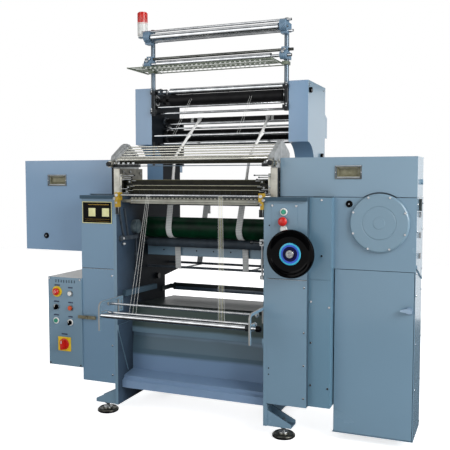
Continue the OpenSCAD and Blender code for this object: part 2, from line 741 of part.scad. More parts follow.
// Small ball lever on a pivot block at the right plate, over a hanging adjusting rod
lever_x = xi - 10;
lever_z = frame_h - 194;
module takedown_lever() {
  color("black") {
    difference() {
      yrod(16, -9, -0.3, lever_x, lever_z);
      yrod(6 + 2 * run_fit, -10, 1, lever_x, lever_z);
    }
    difference() {
      xrod(7, lever_x - 36, lever_x, -4.6, lever_z);
      yrod(15, -10, 1, lever_x, lever_z);
    }
    translate([lever_x - 34, -4.6, lever_z]) rotate([0, -90, 0])
      rotate_extrude() polygon([[0, 0], [5, 0], [7.4, 4], [8, 8], [7, 13], [4, 16], [0, 17]]);
  }
}
fabric_rod_y = takedown_y + 50;
fabric_rod_z = takedown_z - 201;
table_rod_y = plate_depth - 133;
table_rod_z = step_z + 65;
rear_rod_y = plate_depth - 23;
rear_rod_z = frame_h - 51;
tray_top_y = tray_y + 75;
tray_top_z = tray_z + 41;
thread_rod_y = tray_y + 50;
thread_rod_z = tray_z + 5;
stay_z = box_z + 238;
// Ratchet linkage of the take-down on the left plate: lever, tie bars and an adjusting screw
drum_y = takedown_y - 88;
drum_z = takedown_z + 7;
module bar_between(a, b, w) {
  v = b - a;
  n = [-v[1], v[0]] / norm(v) * w / 2;
  polygon([a + n, a - n, b - n, b + n]);
}
module linkage() {
  z = takedown_z - 42;
  side_cut(-xi, -xi + 8) bar_between([13, z + 141], [58, z], 8);
  side_cut(-xi, -xi + 8) bar_between([65, z + 139], [98, z], 8);
  side_cut(-xi, -xi + 12) {
    bar_between([30, z], [drum_y + 20, z - 2], 18);
    translate([30, z]) circle(d = 26);
  }
  xrod(14, -xi + 12, -xi + 20, 48, z);
  xrod(12, -xi, -xi + 12, 57, z - 26);
  // Adjusting screw with its lug, nut and knurled end
  zrod(8, z - 150, z, -xi + 6, drum_y + 9);
  slab(-xi, -xi + 14, drum_y, drum_y + 18, z - 90, z - 80);
  zrod(17, z - 164, z - 146, -xi + 9, drum_y + 9);
  // Knob of the fabric cutter at the back
  xrod(30, -xi, -xi + 16, leg_depth - 95, table_z + 108);
}
module guide_rods() {
  color("silver") {
    // Front bar in the yellow brackets
    xrod(front_bar_d, -xi + 1, xi - 1, 0, front_bar_z);
    // Fabric rods and the rear rod between the side plates
    xrod(rod_d, -xi, xi, fabric_rod_y, fabric_rod_z);
    xrod(rod_d, -xi, xi, table_rod_y, table_rod_z);
    xrod(rod_d + 4, -xi, xi, rear_rod_y, rear_rod_z);
    // Thin rods of the front tray
    xrod(rod_d, -xi + tray_t, xi - tray_t, tray_top_y, tray_top_z);
    xrod(rod_d, -xi + tray_t, xi - tray_t, thread_rod_y, thread_rod_z);
    // Rods of the tower
    xrod(rod_d, -xi, xi, tower_y + 20, frame_h + 436);
    xrod(rod_d, -xi, xi, tower_y + 54, frame_h + 408);
    xrod(rod_d, -xi, xi, tower_y + 125, frame_h + 359);
    xrod(rod_d - 2, -xi, xi, tower_y + 110, frame_h + 335);
    xrod(tape_rod_d, -xi, xi, tape_rod_y, tape_rod_z);
    xrod(20, -xi, xi, tower_y + 75, frame_h + 256);
  }
  // Pivot block of the ball lever with its adjusting rod and knob
  color("silver") {
    slab(lever_x - 8, xi, 0, 20, lever_z - 14, lever_z + 14);
    yrod(6, -11, 1, lever_x, lever_z);
    yrod(12, -13, -9.3, lever_x, lever_z);
    zrod(8, lever_z - 148, lever_z - 13, lever_x, 10);
    zrod(18, lever_z - 112, lever_z - 109, lever_x, 10);
    zrod(20, lever_z - 158, lever_z - 142, lever_x, 10);
    linkage();
    // Stay with its clamp knob between the control box and the tray
    slab(box_x1 - 19, box_x1 + 78, box_front - 5, box_front, stay_z, stay_z + 15);
    slab(box_x1 + 20, box_x1 + 70, box_front - 1, 0, stay_z, stay_z + 15);
    yrod(12, box_front - 9, box_front - 4, box_x1 + 30, stay_z + 7.5);
  }
}
// Bent strip: an arm from the plate, a rounded front corner and a leg, with a lug for the rods
tray_corner = 26;
module tray_profile() {
  z1 = tray_z + 61;
  w = 12;
  difference() {
    union() {
      translate([y_lo + tray_corner, z1 - w]) square([40 - y_lo - tray_corner, w]);
      translate([y_lo, tray_z - 68]) square([w, 129 - tray_corner]);
      translate([y_lo + tray_corner, z1 - tray_corner]) intersection() {
        difference() {
          circle(r = tray_corner);
          circle(r = tray_corner - w);
        }
        translate([-tray_corner - 1, 0]) square(tray_corner + 1);
      }
      translate([tray_y, tray_z]) circle(r = tray_edge);
      translate([tray_y, tray_z - 7]) square([thread_rod_y - tray_y, 20]);
      translate([thread_rod_y, thread_rod_z]) circle(r = 10);
      translate([tray_top_y, tray_top_z]) circle(r = 10);
      translate([tray_top_y - 6, tray_top_z]) square([12, 14]);
    }
    translate([tray_y, tray_z]) circle(d = tray_bar_d - 8 + 2 * run_fit);
  }
}
module tray_brackets() {
  color("lightsteelblue") both() {
    side_cut(xi - tray_t, xi) tray_profile();
    // Bolted foot inside the side plate
    slab(xi - tray_t, xi, 4, 40, tray_z - 10, tray_z + 61);
    for (z = [5, 35]) xrod(12, xi - tray_t - 5, xi - tray_t, 22, tray_z + z);
  }
}
module tray_roller() {
  color("silver") {
    xrod(tray_bar_d, -xi + tray_t + 1, xi - tray_t - 1, tray_y, tray_z);
    xrod(tray_bar_d - 8, -xi - 4, xi + 44, tray_y, tray_z);
    xrod(tray_bar_d + 5, xi - tray_t - 16, xi - tray_t - 1, tray_y, tray_z);
    xrod(tray_bar_d + 4, xi + 22, xi + 40, tray_y, tray_z);
    xrod(tray_bar_d, xi + 1, xi + 10, tray_y, tray_z);
  }
}
// Yellow brackets that hold the front bar
module bar_brackets() {
  color("goldenrod") {
    both() difference() {
      slab(xi - 20, xi, -14, 20, frame_h - 53, frame_h + 15);
      xrod(front_bar_d + 0.2, xi - 21, xi - 1, 0, front_bar_z);
      slab(xi - 21, xi - 12, -15, 21, frame_h - 54, frame_h - 22);
    }
  }
}
// --- Knitting head ---
top_shaft_x = xo + 14;
top_shaft_z = frame_h + 144;
block_top = frame_h + head_h;
module head_blocks() {
  color("gainsboro") both() {
    difference() {
      slab(head_x, head_x + head_t, head_y0, head_y1, frame_h, block_top);
      for (z = weft_z) xrod(weft_rod_d + 2 * run_fit, head_x - 1, head_x + head_t + 1, weft_y, z);
      for (p = [[120, 30], [120, 95], [180, 30], [180, 95], [235, 62]]) xrod(12, head_x - 1, head_x + 8, p[0], frame_h + p[1]);
    }
    // Back plate behind the weft bars, between the two blocks
    slab(-0.1, head_x, weft_y + 12, weft_y + 16, frame_h + 2, frame_h + 72);
    // Shaft on top in two saddles
    yrod(22, -10, 260, top_shaft_x, top_shaft_z);
    for (y = [70, 222]) slab(top_shaft_x - 12, top_shaft_x + 12, y, y + 24, block_top, top_shaft_z);
    for (y = [-4, 40]) yrod(30, y, y + 14, top_shaft_x, top_shaft_z);
    // Cast bracket that carries the rack
    side_cut(rack_x, rack_x + 20)
      polygon([[44, block_top], [246, block_top], [246, frame_h + 190], [228, frame_h + 204], [190, frame_h + 222],
        [160, frame_h + 240], [136, frame_h + 244], [112, frame_h + 236], [24, frame_h + 182], [18, frame_h + 168],
        [22, frame_h + 154]]);
  }
}
module needle_bed() {
  color("silver") {
    difference() {
      slab(-needle_w / 2, needle_w / 2, bed_y0, bed_y1, bed_z0, bed_z1);
      slab(-needle_w / 2 - 1, needle_w / 2 + 1, bed_y0 - 1, bed_y0 + 8, bed_z0 - 1, bed_z0 + 9);
    }
    both() {
      slab(needle_w / 2, xi, bed_y0 + 4, bed_y1, bed_z0 + 5, bed_z1 - 5);
      // Slide pin of the needle bar
      yrod(pin_d, bed_y1 - 1, needle_y + needle_d + needle_travel + 12, pin_x, pin_z);
    }
  }
}
module needle_bar() {
  color("slategray") difference() {
    union() {
      slab(-pin_x - 12, pin_x + 12, needle_y, needle_y + needle_d, bed_z0 + 3, bed_z1 - 1);
      slab(-needle_w / 2 + 8, needle_w / 2 - 8, needle_y + 2, needle_y + needle_d, bed_z1 - 2, bed_z1 + 14);
    }
    for (x = [-pin_x, pin_x]) yrod(pin_d + 2 * run_fit, needle_y - 1, needle_y + needle_d + 1, x, pin_z);
  }
}
// Weft bar: a flat bar with stepped end arms and round end rods that slide in the head blocks
module weft_bar(i) {
  z = weft_z[i];
  w = weft_w / 2;
  color("olivedrab") {
    slab(-w, w, weft_y - 4, weft_y + 4, z - weft_h / 2, z + weft_h / 2);
    both() {
      slab(w - 8, w + 14 + 8 * i, weft_y - 5, weft_y + 5, z - 6, z + 6);
      xrod(weft_rod_d, w, head_x + head_t - 8, weft_y, z);
    }
  }
}
module weft_bar_1() weft_bar(0);
module weft_bar_2() weft_bar(1);
module weft_bar_3() weft_bar(2);
module guide_rack() {
  n = 5;
  color("silver") {
    both() {
      side_cut(rack_x - 8, rack_x)
        polygon([[rack_y0 - 12, rack_z0 - 8], [rack_y0 - 4, rack_z0 + 10], [rack_y1 + 4, rack_z1 + 9],
          [rack_y1 + 12, rack_z1], [rack_y1 + 6, rack_z1 - 12], [rack_y0 + 4, rack_z0 - 12]]);
      // Arm that carries the low tape rod at the back
      side_cut(rack_x - 8, rack_x)
        polygon([[rack_y1 - 6, rack_z1 - 8], [rack_y1 + 10, rack_z1 - 4], [tape_low_y + 9, tape_low_z + 4],
          [tape_low_y + 6, tape_low_z - 9], [tape_low_y - 9, tape_low_z - 4]]);
    }
    xrod(16, -rack_x + 4, rack_x - 4, rack_y0, rack_z0);
    for (k = [1:n]) xrod(10, -rack_x + 4, rack_x - 4, rack_y0 + (rack_y1 - rack_y0) * k / n, rack_z0 + (rack_z1 - rack_z0) * k / n);
    xrod(8, -rack_x + 4, rack_x - 4, tape_low_y, tape_low_z);
  }
}
tape_low_y = 230;
tape_low_z = frame_h + 179;
// --- Tower ---
module tower_profile(e) {
  difference() {
    translate([tower_y + e, frame_h + e]) square([plate_depth - tower_y - 2 * e, tower_h - 2 * e]);
    translate([tower_y - 1, frame_h - 1]) square([arch_r + 1 + e, 282 - arch_r + 1]);
    translate([tower_y, frame_h + 249 - arch_r]) circle(r = arch_r + e, $fn = 96);
    translate([tower_y - 1, frame_h + 282 - arch_r - 1]) square([1 + e, arch_r - 33]);
  }
}
// One tower: bearing plate inside, sheet cover outside and a box on its back
module tower() {
  side_cut(xi, xo) difference() {
    tower_profile(0);
    translate([feed_y, feed_z]) circle(d = small_journal_d + 4 + 2 * run_fit);
    translate([press_y, press_z]) circle(d = small_journal_d + 2 * run_fit);
    translate([mid_roll_y, mid_roll_z]) circle(d = small_journal_d + 4 + 2 * run_fit);
    translate([low_roll_y, low_roll_z]) circle(d = small_journal_d + 4 + 2 * run_fit);
  }
  difference() {
    side_cut(xo, tower_x) tower_profile(0);
    side_cut(xo - 1, tower_x - sheet_t) tower_profile(sheet_t);
  }
  side_cut(xo + 6, tower_x - 6)
    polygon([[plate_depth - 2, frame_h + 283], [plate_depth - 2, frame_h + 412], [plate_depth + 6, frame_h + 412],
      [plate_depth + bump_d, frame_h + 384], [plate_depth + bump_d, frame_h + 283]]);
}
module tower_left() {
  color("lightsteelblue") {
    mirror([1, 0, 0]) tower();
    // Bracket low on the back
    slab(-tower_x + 8, -xo, plate_depth - 2, plate_depth + bump_d - 4, frame_h + 111, frame_h + 148);
  }
}
module tower_right() {
  color("lightsteelblue") {
    tower();
    for (p = [[tower_y + 23, 487], [tower_y + 247, 189]]) xrod(26, tower_x, tower_x + 12, p[0], frame_h + p[1]);
    yrod(20, plate_depth - 1, plate_depth + 12, tower_x - 20, frame_h + 272);
  }
}
module tower_roller(d, x0, x1, y, z, j) {
  xrod(d, x0, x1, y, z);
  xrod(j, -xo - 4, xo + 4, y, z);
}
feed_x0 = -xi + 96;
feed_x1 = xi - 35;
module feed_roller_top() {
  color("black") {
    tower_roller(feed_d, feed_x0, feed_x1, feed_y, feed_z, small_journal_d + 4);
    xrod(feed_d - 8, feed_x0 - 38, feed_x0 - 22, feed_y, feed_z);
  }
}
module press_roller() {
  color("silver") {
    tower_roller(press_d, feed_x0 - 1, feed_x1 + 8, press_y, press_z, small_journal_d);
    xrod(press_d - 4, feed_x0 - 38, feed_x0 - 22, press_y, press_z);
  }
}
module feed_roller_mid() {
  color("black") tower_roller(mid_roll_d, -xi + 20, xi - 10, mid_roll_y, mid_roll_z, small_journal_d + 4);
}
module feed_roller_low() {
  color("black") tower_roller(low_roll_d, -xi + 20, xi - 10, low_roll_y, low_roll_z, small_journal_d + 4);
}
// --- Mast ---
grid_y = [tower_y - 155, tower_y - 120, tower_y - 85, tower_y - 55, tower_y - 25, tower_y + 45];
module mast() {
  color("silver") {
    both() {
      zrod(post_d, mast_z0, mast_z1, post_x, tower_y);
      for (z = [mast_z0 + 8, mast_z0 + 104]) slab(post_x - 16, xi, tower_y - 14, tower_y + 7, z, z + 20);
      difference() {
        slab(post_x - 14, post_x + 14, tower_y - 29, tower_y + 14, grid_z - 8, grid_z + 8);
        zrod(post_d + 0.2, grid_z - 9, grid_z + 9, post_x, tower_y);
      }
    }
    // Thread grid: rods between two side bars, clamped to the posts
    for (y = grid_y) xrod(5, -xi - 48, xi - 26, y, grid_z);
    slab(-xi - 48, -xi - 42, grid_y[0] - 5, grid_y[5] + 5, grid_z - 3, grid_z + 3);
    slab(xi - 34, xi - 28, grid_y[0] - 5, grid_y[5] + 5, grid_z - 3, grid_z + 3);
    slab(-xi + 28, -xi + 34, grid_y[0] - 5, grid_y[5] + 5, grid_z - 3, grid_z + 3);
    // Plain bars between the clamps
    xrod(rod_d, -xi - 20, xi + 28, top_roll_y, top_roll_z + 29);
    xrod(rod_d, -xi - 20, xi + 28, top_roll_y + 30, top_roll_z - 15);
    xrod(rod_d + 2, -xi - 20, xi + 28, top_roll_y + 30, low_bar_z + 30);
    xrod(rod_d + 2, -xi - 20, xi + 28, top_roll_y + 5, low_bar_z);
    xrod(30, -xi + 60, xi - 70, top_roll_y + 5, low_bar_z);
  }
}
clamp_w = 30;
module mast_clamp(x) {
  difference() {
    union() {
      xrod(56, x, x + clamp_w, top_roll_y + 5, top_roll_z + 7);
      slab(x, x + clamp_w, top_roll_y + 5, tower_y + post_d, top_roll_z - 14, top_roll_z + 24);
      slab(x, x + clamp_w, top_roll_y + 2, top_roll_y + 40, top_roll_z - 30, top_roll_z);
    }
    xrod(small_journal_d + 2 * run_fit, x - 1, x + clamp_w + 1, top_roll_y, top_roll_z);
    xrod(rod_d + 0.2, x - 1, x + clamp_w + 1, top_roll_y, top_roll_z + 29);
    xrod(rod_d + 0.2, x - 1, x + clamp_w + 1, top_roll_y + 30, top_roll_z - 15);
    zrod(post_d + 0.2, top_roll_z - 40, top_roll_z + 50, x < 0 ? -post_x : post_x, tower_y);
  }
}
module low_clamp(x) {
  difference() {
    union() {
      xrod(40, x, x + clamp_w, top_roll_y + 5, low_bar_z + 2);
      slab(x, x + clamp_w, top_roll_y + 5, tower_y + post_d, low_bar_z - 12, low_bar_z + 20);
      slab(x, x + clamp_w, top_roll_y + 16, top_roll_y + 46, low_bar_z + 10, low_bar_z + 42);
    }
    xrod(rod_d + 2.2, x - 1, x + clamp_w + 1, top_roll_y + 5, low_bar_z);
    xrod(rod_d + 2.2, x - 1, x + clamp_w + 1, top_roll_y + 30, low_bar_z + 30);
    zrod(post_d + 0.2, low_bar_z - 40, low_bar_z + 50, x < 0 ? -post_x : post_x, tower_y);
  }
}
clamp_x = [-post_x - 16, post_x - 14];
module mast_clamps() {
  color("steelblue") for (x = clamp_x) {
    mast_clamp(x);
    low_clamp(x);
  }
}
module top_roller() {
  color("silver") {
    xrod(top_roll_d, clamp_x[0] + clamp_w + 10, clamp_x[1] - 8, top_roll_y, top_roll_z);
    xrod(small_journal_d, clamp_x[0], clamp_x[1] + clamp_w + 6, top_roll_y, top_roll_z);
  }
}
lamp_x = -xi - 48;
module signal_lamp() {
  z0 = mast_z1 - 28;
  color("white") {
    // Arm from the post's clamp, then base, white part and red lens
    slab(lamp_x - 18, -post_x - 16, tower_y - 12, tower_y + 12, z0 - 4, z0);
    zrod(lamp_d - 6, z0, z0 + 8, lamp_x, tower_y);
    zrod(lamp_d, z0 + 8, z0 + lamp_h * 0.56, lamp_x, tower_y);
  }
  color("red") {
    zrod(lamp_d, z0 + lamp_h * 0.56, z0 + lamp_h - 4, lamp_x, tower_y);
    zrod(lamp_d - 8, z0 + lamp_h - 4, z0 + lamp_h, lamp_x, tower_y);
  }
}
// --- Tapes and threads ---
tape_w = 30;
tape_t = 0.8;
tape_gap = 0.5 + tape_t / 2;
// Points of an arc around a rod: centre, radius, from angle, to angle, in the Y-Z plane
function wrap(y, z, d, a0, a1, n) = [for (i = [0:n]) let (r = d / 2 + tape_gap, a = a0 + (a1 - a0) * i / n)
  [y + r * cos(a), z + r * sin(a)]];
// A flat ribbon along Y-Z points, each with its own X centre
module ribbon(p, w, t) {
  n = len(p);
  d = [for (i = [0:n - 1]) let (a = p[max(i - 1, 0)], b = p[min(i + 1, n - 1)], v = [b[1] - a[1], b[2] - a[2]]) v / norm(v)];
  pts = [for (i = [0:n - 1]) for (c = [[-1, -1], [1, -1], [1, 1], [-1, 1]])
    [p[i][0] + c[0] * w / 2, p[i][1] - c[1] * t / 2 * d[i][1], p[i][2] + c[1] * t / 2 * d[i][0]]];
  polyhedron(pts, concat([[0, 1, 2, 3]], [for (i = [0:n - 2]) for (k = [0:3])
    [i * 4 + k, i * 4 + 4 + k, i * 4 + 4 + (k + 1) % 4, i * 4 + (k + 1) % 4]],
    [[n * 4 - 1, n * 4 - 2, n * 4 - 3, n * 4 - 4]]));
}
// X centres at the middle roller, the tape rod, the rack's rod, the take-down roller and beyond
function at_x(p, x) = [for (i = [0:len(p) - 1])
  [i < 6 ? x[0] : i < 10 ? x[1] : i < 14 ? x[2] : i < 25 ? x[3] : x[4], p[i][0], p[i][1]]];
// From the middle roller over the tape rod and the rack's low rod, down behind the needle bed,
// round the take-down roller and the nip, and out over the rear rod
tape_run = concat(
  wrap(mid_roll_y, mid_roll_z, mid_roll_d, 60, 122, 5),
  wrap(tape_rod_y, tape_rod_z, tape_rod_d, 121, 133, 3),
  wrap(tape_low_y, tape_low_z, 8, 130, 176, 3),
  wrap(takedown_y, takedown_z, takedown_d, 176, 277, 10),
  wrap(nip_y, nip_z, nip_d, 97, 4, 7),
  wrap(fabric_rod_y, fabric_rod_z, rod_d, 184, 267, 4),
  wrap(table_rod_y, table_rod_z, rod_d, 268, 342, 4),
  wrap(rear_rod_y, rear_rod_z, rod_d + 4, 162, 10, 8),
  [[rear_rod_y + 9.2, rear_rod_z - 60]]);
module tapes() {
  color("whitesmoke") {
    ribbon(at_x(tape_run, [-156, -160, -173, -192, -186]), tape_w, tape_t);
    ribbon(at_x(tape_run, [214, 221, 211, 170, 170]), tape_w, tape_t);
  }
}
module strand(a, b, d) {
  v = b - a;
  translate(a) rotate([0, acos(v[2] / norm(v)), atan2(v[1], v[0])]) cylinder(d = d, h = norm(v), $fn = 16);
}
thread_d = 1.2;
module warp_threads() {
  y0 = -front_bar_d / 2 - thread_d / 2 - 0.4;
  y1 = thread_rod_y - rod_d / 2 - thread_d / 2 - 0.4;
  color("lemonchiffon") {
    for (i = [0:4]) {
      strand([-192 + 5 * (i - 2), y0, front_bar_z], [-218 + 11 * (i - 2), y1, thread_rod_z], thread_d);
      strand([163 + 5 * (i - 2), y0, front_bar_z], [210 + 11 * (i - 2), y1, thread_rod_z], thread_d);
    }
    // Yarns from the press roller down to the tower's tape rod
    for (i = [0, 1]) {
      strand([168 + 9 * i, feed_y - feed_d / 2 - 1.2, feed_z], [96 + 12 * i, tape_rod_y - tape_rod_d / 2 - 1.2, tape_rod_z], thread_d);
      strand([-146 + 9 * i, feed_y - feed_d / 2 - 1.2, feed_z], [-250 + 12 * i, tape_rod_y - tape_rod_d / 2 - 1.2, tape_rod_z], thread_d);
    }
  }
}

place() side_plate_left();
place() side_plate_right();
place() apron();
place() cross_beam();
place() fabric_table();
place() column_left();
place() column_right();
place() mid_panel();
place() panel_screws();
place() levelling_feet();
place() left_cabinet();
place() right_cabinet();
place() round_cover();
place() name_plate();
place() control_box();
place() button_bezels();
place() yellow_plates();
place() drive_unit();
place() main_shaft();
place() handwheel();
place() left_hood();
place() right_hood();
place() right_door();
place() door_handle();
place() estop_button();
place() jog_button();
place() stop_button();
place() start_button();
place() selector_upper();
place() selector_lower();
place() main_switch();
place() column_start();
place() column_stop();
place() column_jog();
place() takedown_roller();
place() nip_roller();
place() takedown_lever();
place() guide_rods();
place() tray_brackets();
place() tray_roller();
place() bar_brackets();
place() head_blocks();
place() needle_bed();
place() needle_bar();
place() weft_bar_1();
place() weft_bar_2();
place() weft_bar_3();
place() guide_rack();
place() tower_left();
place() tower_right();
place() feed_roller_top();
place() press_roller();
place() feed_roller_mid();
place() feed_roller_low();
place() mast();
place() mast_clamps();
place() top_roller();
place() signal_lamp();
place() tapes();
place() warp_threads();
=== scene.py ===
# Crochet knitting machine: materials, small parts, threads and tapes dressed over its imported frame
import bpy
import bmesh
import math
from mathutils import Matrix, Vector


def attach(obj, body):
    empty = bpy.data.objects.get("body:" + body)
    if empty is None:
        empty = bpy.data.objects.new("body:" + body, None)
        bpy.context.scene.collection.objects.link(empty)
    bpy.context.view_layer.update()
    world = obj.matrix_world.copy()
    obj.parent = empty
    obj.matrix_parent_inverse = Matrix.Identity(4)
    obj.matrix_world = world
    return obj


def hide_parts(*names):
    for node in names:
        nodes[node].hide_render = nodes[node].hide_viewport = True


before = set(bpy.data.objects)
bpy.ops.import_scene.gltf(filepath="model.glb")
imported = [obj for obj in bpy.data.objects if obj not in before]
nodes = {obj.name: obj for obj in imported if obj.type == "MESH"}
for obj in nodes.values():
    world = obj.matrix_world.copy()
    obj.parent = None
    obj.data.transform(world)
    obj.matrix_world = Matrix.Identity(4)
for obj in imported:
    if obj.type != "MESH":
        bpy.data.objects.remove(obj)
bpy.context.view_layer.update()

scene = bpy.context.scene
shiftX, shiftY = -0.0185, -0.2885  # from the drawing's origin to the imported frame's, in metres
front, back, up = (0, -1, 0), (0, 1, 0), (0, 0, 1)  # directions on the machine
sides = (-1, 1)  # signs of X left and right of its middle
plateX = 360  # inner face of each side plate
sharpAngle = math.radians(34)  # folds steeper than this stay crisp


def at(x, y, z):  # millimetres in the frame's drawing to metres in the scene
    return Vector((x / 1000 + shiftX, y / 1000 + shiftY, z / 1000))


# colours and materials
def linearOf(hexText):
    out = []
    for i in (0, 2, 4):
        c = int(hexText[i:i + 2], 16) / 255
        out.append(c / 12.92 if c <= 0.04045 else ((c + 0.055) / 1.055) ** 2.4)
    return (*out, 1.0)


def addNode(tree, kind, inputs=None, **settings):
    node = tree.nodes.new(kind)
    for key, value in settings.items():
        setattr(node, key, value)
    for key, value in (inputs or {}).items():
        if isinstance(value, bpy.types.NodeSocket):
            tree.links.new(value, node.inputs[key])
        else:
            node.inputs[key].default_value = value
    return node


def startMaterial(name, hexText, roughness, metallic=0.0, **sockets):
    made = bpy.data.materials.new(name)
    made.use_nodes = True
    tree = made.node_tree
    tree.nodes.clear()
    shader = addNode(tree, "ShaderNodeBsdfPrincipled", {
        "Base Color": linearOf(hexText), "Roughness": roughness, "Metallic": metallic,
        **{key.replace("_", " "): value for key, value in sockets.items()}})
    addNode(tree, "ShaderNodeOutputMaterial", {"Surface": shader.outputs["BSDF"]})
    place = addNode(tree, "ShaderNodeTexCoord").outputs["Object"]
    return made, tree, shader, place


def fade(tree, shader, value, low, high, hexLow, hexHigh):
    # colour that runs from one tone to another while a value goes from low to high
    share = addNode(tree, "ShaderNodeMapRange", {"Value": value, "From Min": low, "From Max": high})
    mix = addNode(tree, "ShaderNodeMix", {0: share.outputs["Result"], 6: linearOf(hexLow), 7: linearOf(hexHigh)},
                  data_type="RGBA")
    tree.links.new(mix.outputs[2], shader.inputs["Base Color"])


def tone(tree, shader, where, hexDark, hexLight, millimetres, detail=3.0):
    # cloudy change of colour with spots of about this size
    noise = addNode(tree, "ShaderNodeTexNoise", {"Vector": where, "Scale": 1000 / millimetres, "Detail": detail})
    fade(tree, shader, noise.outputs["Fac"], 0.3, 0.7, hexDark, hexLight)


def relief(tree, shader, where, millimetres, height, strength, edge):
    # fine relief with grains of about this size, over edges softened by this radius in millimetres
    noise = addNode(tree, "ShaderNodeTexNoise", {"Vector": where, "Scale": 1000 / millimetres, "Detail": 2.0})
    soft = addNode(tree, "ShaderNodeBevel", {"Radius": edge / 1000}, samples=4)
    bump = addNode(tree, "ShaderNodeBump", {"Strength": strength, "Distance": height / 1000,
                                            "Height": noise.outputs["Fac"], "Normal": soft.outputs["Normal"]})
    tree.links.new(bump.outputs["Normal"], shader.inputs["Normal"])


def orangePeel(tree, shader, where):  # sprayed enamel's faint waviness, over folds with a small radius
    relief(tree, shader, where, 3.0, 0.06, 0.35, 1.6)


def gloss(tree, shader, where, millimetres, low, high):
    # patches of handling wear in the roughness
    noise = addNode(tree, "ShaderNodeTexNoise", {"Vector": where, "Scale": 1000 / millimetres, "Detail": 4.0})
    ramp = addNode(tree, "ShaderNodeMapRange", {"Value": noise.outputs["Fac"], "To Min": low, "To Max": high})
    tree.links.new(ramp.outputs["Result"], shader.inputs["Roughness"])


def enamel(name, hexDark, hexLight, roughness):
    # stove enamel on sheet steel: even satin colour under a clear gloss, with faint clouding
    made, tree, shader, place = startMaterial(name, hexLight, roughness, Coat_Weight=0.35, Coat_Roughness=0.1)
    tone(tree, shader, place, hexDark, hexLight, 600, detail=1.0)
    gloss(tree, shader, place, 260, roughness - 0.02, roughness + 0.03)
    orangePeel(tree, shader, place)
    return made


def turnedMetal(name, hexDark, hexLight, roughness):
    # ground or turned bar: fine rings across its length and slight changes of tone along it
    made, tree, shader, place = startMaterial(name, hexLight, roughness, 1.0)
    spots = addNode(tree, "ShaderNodeMapping", {"Vector": place, "Scale": (1, 0.12, 0.12)})
    tone(tree, shader, spots.outputs["Vector"], hexDark, hexLight, 45)
    rings = addNode(tree, "ShaderNodeMapping", {"Vector": place, "Scale": (1, 0.05, 0.05)})
    relief(tree, shader, rings.outputs["Vector"], 3.0, 0.01, 0.04, 0.6)
    return made


def plainSurface(name, hexDark, hexLight, roughness, metallic=0.0, spot=18, grain=1.2, height=0.04, edge=0.8,
                 specular=0.5, **sockets):
    # one base with faint mottling and a fine grain, sizes in millimetres
    made, tree, shader, place = startMaterial(name, hexLight, roughness, metallic,
                                              Specular_IOR_Level=specular, **sockets)
    tone(tree, shader, place, hexDark, hexLight, spot)
    relief(tree, shader, place, grain, height, 0.5, edge)
    return made


def innerShadeEnamel():
    # enamel on the plates' inner faces with painted shade, in clouds and darker toward the back
    made, tree, shader, place = startMaterial("innerEnamelWithPaintedShade", "1A222A", 0.6, Specular_IOR_Level=0.12)
    parts = addNode(tree, "ShaderNodeSeparateXYZ", {"Vector": place})
    noise = addNode(tree, "ShaderNodeTexNoise", {"Vector": place, "Scale": 1000 / 90, "Detail": 5.0})
    depth = addNode(tree, "ShaderNodeMath", {0: noise.outputs["Fac"], 1: 0.16, 2: parts.outputs["Y"]},
                    operation="MULTIPLY_ADD")
    fade(tree, shader, depth.outputs[0], -0.26, 0.02, "43566A", "10161C")
    orangePeel(tree, shader, place)
    return made


def postMaterial():
    # tube of the posts: grey above the towers, darkened as painted shade where it stands inside them
    made, tree, shader, place = startMaterial("greyPostTube", "6A7884", 0.36, 0.6)
    parts = addNode(tree, "ShaderNodeSeparateXYZ", {"Vector": place})
    fade(tree, shader, parts.outputs["Z"], 1.548, 1.572, "16191C", "6A7884")
    relief(tree, shader, place, 1.2, 0.04, 0.5, 0.8)
    return made


def apronMaterial():
    # the apron's enamel with painted shade: darker at its top under the tray and in bands under its folds, their edges
    # wavering a little
    made, tree, shader, place = startMaterial("apronEnamelWithPaintedShade", "5E7890", 0.32)
    parts = addNode(tree, "ShaderNodeSeparateXYZ", {"Vector": place})
    drawn = addNode(tree, "ShaderNodeMapping", {"Vector": place, "Scale": (0.4, 1, 1)})
    noise = addNode(tree, "ShaderNodeTexNoise", {"Vector": drawn.outputs["Vector"], "Scale": 1000 / 160, "Detail": 3.0})
    height = addNode(tree, "ShaderNodeMath", {0: noise.outputs["Fac"], 1: 0.03, 2: parts.outputs["Z"]},
                     operation="MULTIPLY_ADD")
    share = addNode(tree, "ShaderNodeMapRange", {"Value": height.outputs[0], "From Min": 0.1, "From Max": 0.515})
    shadeBands = addNode(tree, "ShaderNodeValToRGB", {"Fac": share.outputs["Result"]})
    stops = [(0.0, "7C95B4"), (0.42, "738FAE"), (0.455, "4E6776"), (0.64, "4C6370"), (0.665, "657F92"),
             (0.745, "627C8B"), (0.775, "3D4D4C"), (1.0, "384642")]  # share of the apron's height and its tone
    marks = shadeBands.color_ramp.elements
    for mark, (share, text) in zip(marks, (stops[0], stops[-1])):
        mark.position, mark.color = share, linearOf(text)
    for share, text in stops[1:-1]:
        marks.new(share).color = linearOf(text)
    tree.links.new(shadeBands.outputs["Color"], shader.inputs["Base Color"])
    orangePeel(tree, shader, place)
    return made
